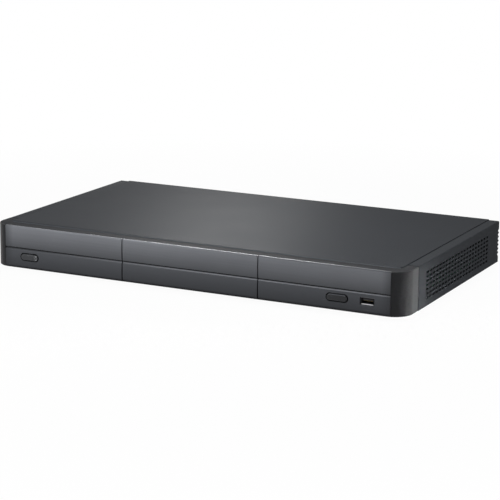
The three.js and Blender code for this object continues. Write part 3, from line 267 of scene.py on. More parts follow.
# %% [markdown]
# The cover is steel with a fine textured paint. Close up, such paint is a field of tiny even bumps under a
# soft sheen, and from afar it is slightly cloudy. A picture of paint could be wrapped round the case, but
# it would repeat and blur. Two noises at their real scales do better: one goes to the bump, and both shift
# the colour and the roughness a little. The low step round the raised panel gets painted light and shade
# in its colour: a painted highlight on its front, and painted shade on its sides.

# %% Painted steel
paint_sheen = 0.003
cloud_waves, speck_waves = 0.02, 2.2
speck_share, speck_tint = 0.35, 0.72
step_margin = 0.1
step_front_end = 17.5
step_painted_highlight, step_painted_shade = 2.3, 0.3


def textured_paint(name, colour, roughness, bump_mm=0.02):
    paint = Finish(name, specular_ior_level=paint_sheen)
    cloud = paint.noise(cloud_waves, 3.0)
    speck = paint.noise(speck_waves)
    step = paint.along(2).between(height_z(strip_level + step_margin), height_z(case_height - step_margin))
    side = paint.along(1).above(depth_y(step_front_end))
    shade = paint.tinted(cloud, colour, 0.90, 1.10)
    # A painted highlight on the step's front, then painted shade on its sides
    shade = paint.mix(step * (1 - side), shade, tone(colour, step_painted_highlight))
    shade = paint.mix(step * side, shade, tone(colour, step_painted_shade))
    paint.feed(base_color=paint.mix(speck * speck_share, shade, tone(colour, speck_tint)))
    paint.feed(roughness=(roughness + cloud.swing(0.10) + speck.swing(0.12)).clamped())
    paint.bump(speck, bump_mm, 0.6)
    return paint.owner


cover_paint = textured_paint("cover_paint", (0.041, 0.044, 0.049), 0.42)
rear_paint = textured_paint("rear_paint", (0.040, 0.041, 0.044), 0.55)
ledge_paint = textured_paint("ledge_paint", (0.042, 0.043, 0.046), 0.50, 0.012)
print("made", cover_paint.name, rear_paint.name, ledge_paint.name)

# %% [markdown]
# One level groove runs across the front and parts it into an upper and a lower band. A small slope joins
# the lower band to the groove. Both the finish and the shape of the plates need these heights, so they come
# first.

# %% Groove and bands
groove_middle = 19.5
groove_height = 1.4
groove_depth = 1.6
groove_lip = 0.8
groove_low = groove_middle - groove_height / 2
groove_high = groove_middle + groove_height / 2
band_division = groove_low - groove_lip
print("groove from", round(groove_low, 2), "to", round(groove_high, 2), "mm")

# %% [markdown]
# The three front plates carry a brushed finish. Brushing leaves hair lines that run across the front: long
# in X and very short in Z. It could be an anisotropic metal, but this finish is dark and hardly shines, so
# a noise stretched along X draws the hairs in the colour, the roughness and a fine bump. The upper band is
# a shade lighter than the lower one, and the change falls at the foot of the slope under the groove. Both
# bands fade from a lighter top to a darker foot, which is painted light from above.
#
# Further painted light and shade are laid over that, each where a mask says. A painted highlight lies on
# the slope towards the right, and the groove gets painted shade. The top rim towards the right, the foot
# and the ends that turn round the corners are darkened as painted shade.

# %% Brushed plates
slope_overlap = 0.1
upper_colour = (0.158, 0.164, 0.179)
lower_colour = (0.058, 0.061, 0.068)
upper_painted_light, lower_painted_light = 0.52, 0.40
hair_stretch = (0.012, 5.0, 5.0)
hair_share, cloud_share = 0.35, 0.25
rim_shade_height, foot_shade_height = 0.9, 3.0
# Where a tint begins and where it is full, in metres to the right of the middle
slope_highlight_reach = (-0.17, 0.03)
rim_shade_reach = (-0.06, 0.1067)
turn_shade_reach = (0.192, 0.201)


def brushed_plate():
    plate = Finish("brushed_finish", metallic=0.15, specular_ior_level=0.12)
    hairs = plate.noise(1.0, 3.0, hair_stretch)
    cloud = plate.noise(0.015)
    across, height = plate.along(0), plate.along(2)

    def band_painted_light(colour, low, high, painted_fade):
        """The colour of one band with painted light from above, lighter at its top than at its foot."""
        rise = height.rising(height_z(low), height_z(high))
        return plate.tinted(rise, colour, 1 - painted_fade, 1 + painted_fade)

    slope_foot, slope_top = height_z(band_division), height_z(groove_low + slope_overlap)
    # Masks for painted shade: the top rim, the foot and the ends that turn round the corners
    rim = height.above(height_z(strip_level - rim_shade_height))
    foot = height.rising(height_z(foot_shade_height), height_z(0))
    turned_end_shade = (across * across).rising(turn_shade_reach[0] ** 2, turn_shade_reach[1] ** 2)
    shade = plate.mix(
        height.above(slope_foot),
        band_painted_light(lower_colour, 0, band_division, lower_painted_light),
        band_painted_light(upper_colour, band_division, strip_level, upper_painted_light),
    )
    tints = [
        (hairs * hair_share + cloud * cloud_share, tone(lower_colour, 0.9)),
        # A painted highlight on the slope, growing towards the right
        (height.between(slope_foot, slope_top) * across.rising(*slope_highlight_reach), tone(upper_colour, 1.7)),
        # Painted shade in the groove
        (height.between(slope_top, height_z(groove_high)), tone(lower_colour, 0.2)),
        # Painted shade on the top rim, towards the right
        (rim * across.rising(*rim_shade_reach) * 0.7, tone(lower_colour)),
        # Painted shade at the foot
        (foot * 0.9, tone(lower_colour, 0.2)),
        # Painted shade on the ends that turn round the corners
        (turned_end_shade * 0.6, tone(lower_colour, 0.5)),
    ]
    for mask, colour in tints:
        shade = plate.mix(mask, shade, colour)
    plate.feed(base_color=shade, roughness=(0.40 + hairs.swing(0.22)).clamped())
    plate.bump(hairs, 0.008, 0.5)
    return plate.owner


plate_finish = brushed_plate()
print("made", plate_finish.name)

# %% [markdown]
# Moulded plastics differ in colour, gloss and grain only, so one function serves them all. Spark-eroded
# moulds give plastic a fine matt grain, polished ones leave it smooth, and handling shows as faint
# variation in the gloss. The two buttons get a painted highlight along their upper edge, which stands for
# the light from overhead.

# %% Moulded plastics
edge_highlight_height = 14.1


def moulded(name, colour, roughness, grain_mm=0.006, grain=1.6, specular=0.5, wear=0.12, edge_highlight_tint=None):
    """The grain is a bump's depth and its waves to the millimetre, the edge highlight a painted upper edge
    tint.
    """
    plastic = Finish(name, specular_ior_level=specular)
    fine = plastic.noise(grain)
    broad = plastic.noise(0.05)
    shade = plastic.tinted(broad, colour, 0.88, 1.10)
    if edge_highlight_tint:
        # A painted highlight along the upper edge
        painted_highlight_edge = plastic.along(2).above(height_z(edge_highlight_height))
        shade = plastic.mix(painted_highlight_edge, shade, tone(colour, edge_highlight_tint))
    plastic.feed(base_color=shade, roughness=(roughness + broad.swing(wear) + fine.swing(0.06)).clamped())
    plastic.bump(fine, grain_mm, 0.5)
    return plastic.owner


bezel_plastic = moulded("bezel_plastic", (0.014, 0.0145, 0.016), 0.31, specular=0.12, wear=0.03)
# Both caps are one plastic: the setup cap's is painted darker as shade, the power cap's lighter as light
setup_plastic = moulded("setup_plastic", (0.021, 0.022, 0.025), 0.22, 0.003, specular=0.25, edge_highlight_tint=5.0)
power_plastic = moulded("power_plastic", (0.040, 0.042, 0.046), 0.22, 0.003, specular=0.25, edge_highlight_tint=1.6)
window_plastic = moulded("window_plastic", (0.050, 0.052, 0.056), 0.22, 0.002, specular=0.4)
guide_plastic = moulded("guide_plastic", (0.45, 0.47, 0.50), 0.25, 0.002)
black_plastic = moulded("black_plastic", (0.012, 0.012, 0.013), 0.42, 0.008, specular=0.3)
foot_rubber = moulded("foot_rubber", (0.014, 0.014, 0.014), 0.80, 0.02, 1.0, specular=0.2)
ferrite = moulded("ferrite", (0.030, 0.029, 0.028), 0.72, 0.03, 2.5)
winding_tape = moulded("winding_tape", (0.60, 0.40, 0.05), 0.35, 0.004)
can_sleeve = moulded("can_sleeve", (0.020, 0.022, 0.035), 0.30, 0.003)
cable_cover = moulded("cable_cover", (0.28, 0.29, 0.30), 0.50)
fuse_glass = moulded("fuse_glass", (0.70, 0.73, 0.74), 0.12, 0.001)
chip_plastic = moulded("chip_plastic", (0.018, 0.018, 0.019), 0.60, 0.02, 3.0)
print("made the plastics")

# %% [markdown]
# Bare metals need a high metallic value and a roughness that varies, because a perfectly even metal looks
# like paint. Rolled and plated sheet has long faint drawing lines, and zinc also shows its crystals as pale
# patches.

# %% Metals
def metal(name, colour, roughness, lines=(1, 1, 1), spangle=0.0):
    bare = Finish(name, metallic=1.0)
    drawn = bare.noise(0.6, 3.0, lines)
    cell = bare.mapped(0.12)
    crystal = bare.add("ShaderNodeTexVoronoi", {}, {"Vector": cell, "Scale": 1.0}, output="Distance")
    shade = bare.mix(crystal * spangle, tone(colour), tone(colour, 0.6))
    bare.feed(base_color=bare.mix(drawn * 0.4, shade, tone(colour, 0.8)))
    bare.feed(roughness=(roughness + drawn.swing(0.2) + crystal * spangle * 0.2).clamped())
    bare.bump(drawn, 0.003, 0.4)
    return bare.owner


zinc_sheet = metal("zinc_sheet", (0.52, 0.53, 0.54), 0.36, (0.1, 2.0, 2.0), 0.5)
# A dark sheet finish for the tray, as painted shade behind the vent slots
blackened_sheet = metal("blackened_sheet", (0.040, 0.041, 0.043), 0.52, (0.1, 2.0, 2.0), 0.2)
bright_shell = metal("bright_shell", (0.74, 0.74, 0.75), 0.22, (1.0, 0.1, 1.0))
# The front socket's shell is darkened as painted shade in its opening, and its lip brightened as a painted
# highlight
lip_steel = metal("lip_steel", (0.92, 0.92, 0.93), 0.46, (1.0, 0.1, 1.0))
dull_shell = metal("dull_shell", (0.14, 0.14, 0.15), 0.30, (1.0, 0.1, 1.0))
gilt_contact = metal("gilt_contact", (0.83, 0.60, 0.22), 0.22)
dark_sink = metal("dark_sink", (0.045, 0.045, 0.048), 0.42, (3.0, 0.2, 3.0))
print("made the metals")

# %% [markdown]
# A circuit board is glass cloth under green lacquer. The tracks under the lacquer show as slightly lighter,
# slightly raised lines. They could be modelled one by one, but the boards are only glimpsed through the
# slots. So a brick pattern, offset row by row, stands for their right-angled runs.

# %% Circuit board
def lacquered_board():
    board = Finish("lacquered_board", coat_weight=0.3)
    settings = {"offset": 0.37, "squash": 0.8}
    tracks = board.add("ShaderNodeTexBrick", settings, {
        "Vector": board.mapped(0.09), "Scale": 1.0, "Mortar Size": 0.045, "Mortar Smooth": 0.1,
        "Color1": tone((0, 0, 0)), "Color2": tone((0.25, 0.25, 0.25)), "Mortar": tone((1, 1, 1)),
    }, output="Color")
    line = board.add("ShaderNodeSeparateColor", {}, {0: tracks})
    board.feed(base_color=board.mix(line, tone((0.012, 0.075, 0.035)), tone((0.03, 0.15, 0.07))))
    board.feed(roughness=(0.32 + board.noise(0.4) * 0.15).clamped())
    board.bump(line, 0.04)
    return board.owner


board_lacquer = lacquered_board()
print("made", board_lacquer.name)

# %% [markdown]
# Modelling helpers
#
# Each piece starts in a bmesh from a basic shape or from a few vertices. The helpers are named for what a
# workshop would do: a box is sawn from a bar, and a profile is pushed through a length. Both could be made
# from lists of vertices and faces, but an operator keeps the faces closed and turned outwards.

# %% Basic shapes
fine_gap = 0.001 * MM


def box(x, y, z):
    low, high = (at(*corner) for corner in zip(x, y, z))
    size = high - low
    shape = bmesh.new()
    place = Matrix.Translation((low + high) / 2) @ Matrix.Diagonal((*size, 1))
    bmesh.ops.create_cube(shape, size=1, matrix=place)
    return shape


def brick(width, height, middle, y, margin=0.0):
    """A box round a middle (x, z), larger by a margin on its four sides, from one y to another."""
    return box(about(middle[0], width / 2 + margin), y, about(middle[1], height / 2 + margin))


def pushed(shape, faces, axis, length):
    """Extrudes one face along X (axis 0) or Y (axis 1) and turns all faces outwards."""
    way = Vector()
    way[axis] = length * MM
    made = bmesh.ops.extrude_face_region(shape, geom=faces)
    moved = [item for item in made["geom"] if isinstance(item, bmesh.types.BMVert)]
    bmesh.ops.translate(shape, verts=moved, vec=way)
    bmesh.ops.recalc_face_normals(shape, faces=shape.faces)
    return shape


def profile(pairs, span, axis):
    """A side profile of (y, z) pairs pushed along X, or a front profile of (x, z) pairs pushed along Y."""
    shape = bmesh.new()
    places = [(span[0], *pair) if axis == 0 else (pair[0], span[0], pair[1]) for pair in pairs]
    face = shape.faces.new([shape.verts.new(at(*place)) for place in places])
    return pushed(shape, [face], axis, span[1] - span[0])


print("box and profile ready")

# %% [markdown]
# Openings with round ends are made by a punch, and parts with an axis are turned. A punch is a circle whose
# halves are moved apart before it is pushed through, which costs fewer faces than a box joined to two
# cylinders. A turned part is half a section, spun once round its axis, with the last ring merged into the
# first.

# %% Punches and turned parts
def both_sides(pairs):
    """An outline from its right half, which runs upwards."""
    return [(-x, z) for x, z in reversed(pairs)] + pairs


def round_ended(place, width, height, steps, axis, length):
    """A circle with a straight stretch in its middle, pushed along X (axis 0) or Y (axis 1).

    It is made a little larger, so that the middles of its flat sides lie at the asked height.
    """
    shape = bmesh.new()
    radius = height / 2 / math.cos(math.pi / steps) * MM
    bmesh.ops.create_circle(shape, cap_ends=True, segments=steps, radius=radius, matrix=place)
    straight, side = (width - height) / 2 * MM, 1 - axis
    for vertex in shape.verts:
        vertex.co[side] += math.copysign(straight, vertex.co[side] - place.translation[side])
    return pushed(shape, list(shape.faces), axis, length)


def oblong(width, height, middle, y, steps=28):
    """A punch with round ends, seen from the front. Its circle is turned half a step, so its top is flat."""
    place = Matrix.Translation(at(middle[0], y[0], middle[1])) @ Matrix.Rotation(math.pi / 2, 4, "X")
    place = place @ Matrix.Rotation(math.pi / steps + math.pi / 2, 4, "Z")
    return round_ended(place, width, height, steps, 1, y[1] - y[0])


def turned(pairs, middle, steps=32, upright=False):
    """A turned part: pairs are a radius and a place along its axis, which is Y unless it stands upright."""
    shape = bmesh.new()
    if upright:
        centre, axis = at(*middle, 0), (0, 0, 1)
        places = [at(middle[0] + radius, middle[1], along) for radius, along in pairs]
    else:
        centre, axis = at(middle[0], 0, middle[1]), (0, 1, 0)
        places = [at(middle[0] + radius, along, middle[1]) for radius, along in pairs]
    chain = [shape.verts.new(place) for place in places]
    closing = chain[:1] if pairs[0][0] > 0 else []
    edges = [shape.edges.new(pair) for pair in zip(chain, chain[1:] + closing)]
    bmesh.ops.spin(
        shape, geom=chain + edges, cent=centre, axis=axis, angle=math.tau, steps=steps, use_merge=True)
    bmesh.ops.remove_doubles(shape, verts=shape.verts, dist=fine_gap)
    bmesh.ops.recalc_face_normals(shape, faces=shape.faces)
    return shape


def rod(radius, y, middle, steps):
    return turned([(0, y[0]), (radius, y[0]), (radius, y[1]), (0, y[1])], middle, steps)


print("punch and turning ready")

# %% [markdown]
# Moulded and folded parts have no sharp edges. A modifier could round every edge above an angle, but on a
# real part some edges are soft and others are cut. So each piece names its soft edges with a small test,
# and only those are bevelled. A level line drawn round a rounded block keeps its upright faces shading as
# truly upright.

# %% Soft edges
def divided(shape, place, normal, drops_outer=False):
    """Draws edges where a plane meets a shape, and may drop what lies on the side of its normal."""
    everything = list(shape.verts) + list(shape.edges) + list(shape.faces)
    bmesh.ops.bisect_plane(
        shape, geom=everything, plane_co=place, plane_no=normal, dist=fine_gap, clear_outer=drops_outer)


def levelled(shape, height):
    """Draws a level line round a shape, which keeps its upright faces shading as truly upright."""
    divided(shape, at(0, 0, height), (0, 0, 1))


def near(one, other, tolerance=0.02):
    return abs(one - other) < tolerance * MM


def runs_back(a, b):
    """Says whether an edge runs straight from front to back."""
    return near(a.x, b.x) and near(a.z, b.z)


def any_edge(a, b):
    return True


def at_depth(y, upright=False):
    """Picks the edges that lie at one depth, or the upright ones of them only."""
    place = depth_y(y)
    return lambda a, b: near(a.y, place) and near(b.y, place) and (near(a.x, b.x) or not upright)


def at_height(z):
    """Picks the edges that lie at one height."""
    place = height_z(z)
    return lambda a, b: near(a.z, place) and near(b.z, place)


def bevelled(shape, geometry, width, steps, affect="EDGES", clamp=False):
    bmesh.ops.bevel(shape, geom=geometry, offset=width * MM, offset_type="OFFSET", affect=affect,
                    segments=steps, profile=0.5, material=-1, clamp_overlap=clamp)
    return shape


def soften(shape, chosen, width, steps=3):
    """Rounds the edges for which chosen(first, second) says yes, by a width in millimetres."""
    edges = [edge for edge in shape.edges if chosen(edge.verts[0].co, edge.verts[1].co)]
    return bevelled(shape, edges, width, steps, clamp=True)


print("edge helpers ready")

# %% [markdown]
# A cut could be drawn face by face round each opening, but where many punches meet a thin sheet that is
# slow to write and easy to get wrong. Blender's Boolean modifier does it on two passing objects, and the
# result comes back as a plain bmesh. Pieces that only lie beside each other are put together without it.

# %% Cuts and joins
def placed(name, shape):
    """Puts a bmesh into the scene as an object."""
    mesh = bpy.data.meshes.new(name)
    shape.to_mesh(mesh)
    shape.free()
    item = bpy.data.objects.new(name, mesh)
    scene.collection.objects.link(item)
    return item


def modified(shape, kind, settings, *tools):
    """The shape after one modifier, as a new bmesh. The tools that the modifier used are removed."""
    item = placed("passing", shape)
    modifier = item.modifiers.new(kind.lower(), kind)
    for key, value in settings.items():
        setattr(modifier, key, value)
    evaluated = item.evaluated_get(bpy.context.evaluated_depsgraph_get())
    result = bmesh.new()
    result.from_mesh(evaluated.to_mesh())
    evaluated.to_mesh_clear()
    for passing in (item, *tools):
        bpy.data.objects.remove(passing)
    return result


def combined(shape, tool, operation):
    cutter = placed("passing", tool)
    return modified(shape, "BOOLEAN", {"object": cutter, "operation": operation, "solver": "EXACT"}, cutter)


def cut(shape, *tools):
    return combined(shape, together(*tools), "DIFFERENCE")


def joined(shape, *others):
    for other in others:
        shape = combined(shape, other, "UNION")
    return shape


def together(*shapes):
    """Several separate shapes in one bmesh."""
    first, *others = shapes
    for other in others:
        mesh = bpy.data.meshes.new("passing")
        other.to_mesh(mesh)
        other.free()
        first.from_mesh(mesh)
        bpy.data.meshes.remove(mesh)
    return first


print("cutting helpers ready")

# %% [markdown]
# A finished piece has smooth shading with crisp corners, a material and a name of its own.

# %% Finished pieces
sharp_angle = math.radians(32)
weld_gap = 0.0005 * MM


def show(name, shape, finish, nodes=(), body="case"):
    """Makes a finished piece: smooth shading with crisp corners, a material, a body to ride on."""
    bmesh.ops.remove_doubles(shape, verts=shape.verts, dist=weld_gap)
    piece = placed(name, shape)
    mesh = piece.data
    mesh.polygons.foreach_set("use_smooth", [True] * len(mesh.polygons))
    mesh.set_sharp_from_angle(angle=sharp_angle)
    mesh.materials.append(finish)
    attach(piece, body)
    if nodes:
        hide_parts(*nodes)
    print(f"{name}: {len(mesh.polygons)} faces")
    return piece


print("ready to show pieces")

# %% [markdown]
# Top cover
#
# The cover is one sheet of steel, folded down at both sides and at the back, with a raised panel pressed
# into its top. It could be a box with cut sides, but a folded sheet has thin edges that show in the slots,
# so it is modelled as a skin. Its top starts as one flat face with two round corners. That face is inset
# and its middle is lifted, and the front of the step leans back by a little.

# %% Raised panel
panel_half = 204.0
panel_corner = 6.8
step_run = 0.4
step_round = 0.35
step_rise = case_height - strip_level
front_lean = 0.8
ledge_depth = 14.3


def raised_panel():
    """The ledge with the panel in it, whose front face leans back by a little."""
    skin = bmesh.new()
    edge = panel_half + step_run
    overrun = case_depth + panel_corner
    corners = [(-edge, ledge_depth), (edge, ledge_depth), (edge, overrun), (-edge, overrun)]
    vertices = [skin.verts.new(at(x, y, strip_level)) for x, y in corners]
    skin.faces.new(vertices)
    bevelled(skin, vertices[:2], panel_corner, 8, affect="VERTICES")
    skin.faces.ensure_lookup_table()
    panel = skin.faces[0]
    bmesh.ops.inset_region(skin, faces=[panel], thickness=step_run * MM, depth=step_rise * MM,
                           use_boundary=True, use_even_offset=True)
    front = min(vertex.co.y for vertex in panel.verts)
    for vertex in panel.verts:
        share = 1 - (vertex.co.y - front) / (panel_corner * MM)
        vertex.co.y += front_lean * MM * max(0.0, share)
    return bevelled(skin, list(panel.edges), step_round, 3)


print("raised panel ready")

# %% [markdown]
# The sides are drawn out of the border of that top, across to the full width and then down to the foot.
# They could be faces between corners that the script works out, but extruded edges stay joined to the
# sheet, so the bend between them can be rounded. The thickness is added inwards at the end, so the outside
# keeps its sizes.

# %% Folded sheet
sheet = 1.0
seam_depth = 31.7
bend_radius = 1.2


def extruded_edges(shape, across, behind):
    """Extrudes the border edges at one distance from the middle that lie behind a place in depth."""
    def chosen(place):
        return near(abs(place.x), across * MM) and place.y > behind

    edges = [edge for edge in shape.edges
             if edge.is_boundary and chosen(edge.verts[0].co) and chosen(edge.verts[1].co)]
    made = bmesh.ops.extrude_edge_only(shape, edges=edges)
    return [item for item in made["geom"] if isinstance(item, bmesh.types.BMVert)]


def cover_skin():
    skin = raised_panel()
    divided(skin, at(0, case_depth, 0), (0, 1, 0), drops_outer=True)
    divided(skin, at(0, seam_depth, 0), (0, 1, 0))
    seam = depth_y(seam_depth) - 0.01 * MM
    for vertex in extruded_edges(skin, panel_half + step_run, seam):
        vertex.co.x = math.copysign(half_width * MM, vertex.co.x)
    for vertex in extruded_edges(skin, half_width, seam):
        vertex.co.z = height_z(0)
    bend = at_height(strip_level)
    soften(skin, lambda a, b: near(abs(a.x), half_width * MM) and near(a.x, b.x) and bend(a, b),
           bend_radius, 6)
    levelled(skin, strip_level - bend_radius * 1.5)
    return skin


thickness = {"thickness": sheet * MM, "offset": -1, "use_even_offset": True}
cover_shape = modified(cover_skin(), "SOLIDIFY", thickness)
print("folded sheet:", len(cover_shape.faces), "faces")

# %% [markdown]
# The sides breathe through rows of short slots, punched with round ends. A dark pattern would look flat,
# because light from inside and the thin edges of the sheet show in them, so they are real openings. Each
# punch crosses the whole case, and one row of tools opens both sides at once. The last punch of each row
# runs over the rear edge and leaves a notch there.

# %% Vent slots
vent_rows, vent_columns = 7, 21
vent_pitch_along = 8.0
vent_first_along = 53.0
vent_length, vent_height = 5.8, 2.15
vent_steps = 12
notch_depth, notch_height = 2.2, 2.4
# The lowest row and the step from row to row, as shares of the height
vent_first_up, vent_pitch_up = 0.18, 0.096
flange_foot, flange_half = 32.7, 202.0
vent_heights = [case_height * (vent_first_up + row * vent_pitch_up) for row in range(vent_rows)]


def side_punch(along, up, length, height):
    """A round-ended punch that lies across the whole case."""
    reach = half_width + 5
    place = Matrix.Translation(at(-reach, along, up)) @ Matrix.Rotation(math.pi / 2, 4, "Y")
    place = place @ Matrix.Rotation(math.pi / vent_steps, 4, "Z")
    return round_ended(place, length, height, vent_steps, 0, reach * 2)


punches = [side_punch(vent_first_along + column * vent_pitch_along, up_at, vent_length, vent_height)
           for up_at in vent_heights for column in range(vent_columns)]
punches += [side_punch(case_depth, up_at, notch_depth * 2, notch_height) for up_at in vent_heights]
cover_shape = cut(cover_shape, *punches)
rear_flange = box((-flange_half, flange_half), (case_depth - sheet, case_depth), (flange_foot, strip_level))
show("folded_cover", together(cover_shape, rear_flange), cover_paint, ["top_cover"])

# %% [markdown]
# Front bezel
#
# Three openings are cut into the front: two oblong ones for the buttons, and one for the USB socket. They
# could be cut into each piece apart, but the bezel and the plates are cut by the same punches, so their
# edges line up.

# %% Front openings
button_up = 11.5
button_height = 8.0
power_across, power_width = -173.3, 20.6
setup_across, setup_width = 149.5, 22.0
usb_place = (178.5, 11.5)
usb_width, usb_height = 13.2, 6.2
usb_gap = 0.3


def front_openings(y):
    return [
        oblong(power_width, button_height, (power_across, button_up), y),
        oblong(setup_width, button_height, (setup_across, button_up), y),
        brick(usb_width, usb_height, usb_place, y, usb_gap),
    ]


print("three front openings ready")

# %% [markdown]
# The front is a moulding that wraps round both corners and ends at an upright seam in each side. It could
# be drawn as a skin like the cover, but its wall is thick and its hollow is square. So it is a block with
# large upright roundings and a small one along its top and bottom, hollowed from behind, with a shallow
# recess in front where the plates are glued in.

# %% Bezel moulding
corner_radius = 18.0
edge_round = 0.7
ear_depth = 30.2
bezel_wall = 2.4
inner_corner = 10
plate_end = 200.5
plate_gap = 0.2
wall_front = 2.2
wall_back = wall_front + bezel_wall
recess_foot = 0.6
seat_half, seat_set_back = 199, 5
floor_half, floor_front = 212.1, 12
overrun = 3


def wrapped_block(z):
    """A block whose two front corners are rounded in plan."""
    block = box((-half_width, half_width), (0, ear_depth), z)
    return soften(block, at_depth(0, upright=True), corner_radius, 20)


def bezel_block():
    block = wrapped_block((0, strip_level))
    rear = at_depth(ear_depth)
    for height in (0, strip_level):
        rim = at_height(height)
        soften(block, lambda a, b: rim(a, b) and not rear(a, b), edge_round)
    for height in (edge_round * 1.5, strip_level - edge_round * 1.5):
        levelled(block, height)
    return block


beyond = (strip_level - bezel_wall - 1, strip_level + overrun)
back_end = ear_depth + overrun
inner = box(about(0, half_width - bezel_wall), (wall_back, back_end), (bezel_wall, strip_level - bezel_wall))
soften(inner, at_depth(wall_back, upright=True), inner_corner, 8)
recess = box(about(0, plate_end + plate_gap), (-overrun, wall_front), (recess_foot, strip_level + overrun))
seat = box(about(0, seat_half), (ledge_depth + seat_set_back, back_end), beyond)
open_floor = box(about(0, floor_half), (floor_front, back_end), (-overrun, bezel_wall + 1))
bezel_shape = bezel_block()
for tool in (inner, recess, seat, open_floor):
    bezel_shape = cut(bezel_shape, tool)
bezel_shape = cut(bezel_shape, *front_openings((wall_front - 1, wall_back + 1)))
bezel = show("wrapped_bezel", bezel_shape, bezel_plastic, ["front_bezel"])
# The flat ledge on top wears paint like the cover's, so it is the second material of this piece
bezel.data.materials.append(ledge_paint)
for face in bezel.data.polygons:
    face.material_index = int(face.normal.z > 0.8 and near(face.center.z, height_z(strip_level)))

# %% [markdown]
# Front plates
#
# Three plates stand side by side with a narrow gap between them. Their section is the same all along, so
# each plate is that section pushed across the front: a gently swelling upper band with a rounded top edge,
# a level groove, and a lower band that meets the groove in a small slope. The slope catches the light as a
# bright line, and the swelling lets the light fade down each band; the plate finish adds a painted highlight
# and painted shade to both. The two outer plates are then trimmed to the bezel's round corners.

# %% Plate section
plate_thickness = 2.0
plate_foot = 0.8
band_crown = 0.35
crown_steps = 12
seam_half = 0.6
seam_across = 70.8


def crowned_band(low, high):
    """Points up one band, which swells forwards in its middle."""
    shares = [step / crown_steps for step in range(crown_steps + 1)]
    return [(band_crown * (share * 2 - 1) ** 2, low + (high - low) * share) for share in shares]


def plate(x):
    section = [
        (plate_thickness, plate_foot), *crowned_band(plate_foot, band_division),
        (band_crown + groove_lip, groove_low), (groove_depth, groove_low), (groove_depth, groove_high),
        *crowned_band(groove_high, strip_level), (plate_thickness, strip_level),
    ]
    shape = profile(section, x, 0)
    crest = at_depth(band_crown)
    for height, width, steps in ((strip_level, 1.0, 5), (plate_foot, 0.4, 2), (groove_high, 0.15, 2),
                                 (band_division, 0.15, 2)):
        ridge = at_height(height)
        soften(shape, lambda a, b: crest(a, b) and ridge(a, b), width, steps)
    return shape


def end_plate(x):
    """A plate that follows the bezel's round corner and has the front's openings."""
    shape = combined(plate(x), wrapped_block((0, case_height)), "INTERSECT")
    return cut(shape, *front_openings((-1, plate_thickness + 1)))


inner_end, outer_end = seam_across - seam_half, seam_across + seam_half
for name, shape, node in (
    ("plate_left", end_plate((-plate_end, -outer_end)), "face_plate_left"),
    ("plate_middle", plate((-inner_end, inner_end)), "face_plate_centre"),
    ("plate_right", end_plate((outer_end, plate_end)), "face_plate_right"),
):
    show(name, shape, plate_finish, [node])

# %% [markdown]
# Buttons
#
# Each button is an oblong cap with a softly rounded face, a collar behind the wall that keeps it in, and a
# stem that presses the switch. The three could be separate pieces, but a real button is one moulding, so
# they are joined.

# %% Button maker
button_gap = 1.0
cap_proud = 1.2
cap_round = 1.15
collar_front = wall_back + 0.3
collar_thickness, collar_rim = 1, 1.3
stem_width = 3.0
# The stem ends where the switch plunger begins, in front of the board and the switch on it
board_front, switch_depth, plunger_reach = 14, 3.4, 1.6
stem_end = board_front - switch_depth - plunger_reach


def cap(across_at, width):
    y = (-cap_proud, collar_front + collar_thickness)
    shape = oblong(width - button_gap * 2, button_height - button_gap * 2, (across_at, button_up), y)
    return soften(shape, at_depth(-cap_proud), cap_round, 6)


def push_button(across_at, width):
    middle = (across_at, button_up)
    collar_span = (collar_front, collar_front + collar_thickness)
    collar = oblong(width + collar_rim, button_height + collar_rim, middle, collar_span)
    stem = brick(stem_width, stem_width, middle, (collar_front, stem_end))
    return joined(cap(across_at, width), collar, stem)


print("button maker ready")

# %% [markdown]
# The power button gives its right end to a small light window of clear plastic. The window could be a shape
# of its own, but then the two outlines might not meet. So cap and window are cut from one blank and look
# like one oblong. A pale upright bar in the window shows the lamp's light, which a round guide behind it
# carries through the case.

# %% Light window
window_width = 4.4
window_seam = 0.15
bar_across, bar_set_back = 2.6, 0.02
bar_length, bar_width = 4.2, 1.6
bar_share = 0.97
guide_across, guide_radius, guide_end = 2.2, 1.5, 11.1


def room_right_of(x, back):
    """All the room that the light window's side of the power button may fill, and some more."""
    return box((x, x + 20), (-4, back), (0, 20))


split = power_across + power_width / 2 - button_gap - window_width
right_side = room_right_of(split - window_seam, collar_front + 3)
show("power_cap", cut(push_button(power_across, power_width), right_side), power_plastic,
     ["power_button"], "power_button")
show("setup_cap", push_button(setup_across, setup_width), setup_plastic,
     ["setup_button"], "setup_button")
window_room = room_right_of(split + window_seam, collar_front)
window_shape = combined(cap(power_across, power_width), window_room, "INTERSECT")
bar_place = (split + bar_across, button_up)
bar_centre = at(bar_place[0], 0, bar_place[1])
bar_room = oblong(bar_length, bar_width, bar_place, (bar_set_back - cap_proud, collar_front), 16)
quarter_turn = Matrix.Rotation(math.pi / 2, 3, "Y")
bmesh.ops.rotate(bar_room, verts=bar_room.verts, cent=bar_centre, matrix=quarter_turn)
light_bar = bar_room.copy()
window_shape = cut(window_shape, bar_room)
guide = rod(guide_radius, (collar_front - 0.4, guide_end), (split + guide_across, button_up), 20)
show("light_window", joined(window_shape, guide), window_plastic, ["light_guide"])
bmesh.ops.scale(light_bar, verts=light_bar.verts, vec=(bar_share, 1, bar_share),
                space=Matrix.Translation(-bar_centre))
show("light_bar", light_bar, guide_plastic)

# %% [markdown]
# USB sockets
#
# A USB socket is a folded metal shell round a plastic tongue. The shell's corners are bent, not sharp, and
# its floor has two slits. It could be folded like the cover, but it is a small tube, so an inner block is
# cut out of an outer one. The same functions make the front and the rear socket, and a way of 1 or -1 says
# whether the socket runs to the back or to the front from its mouth.

# %% USB shell
usb_depth = 13.4
shell_wall = 0.35
shell_bend = 1.0
lip_thickness, lip_inset = 0.6, 1.0
slit_across, slit_width, slit_start, slit_length = 3, 1.8, 2, 0.6
front_set_back = 1.2


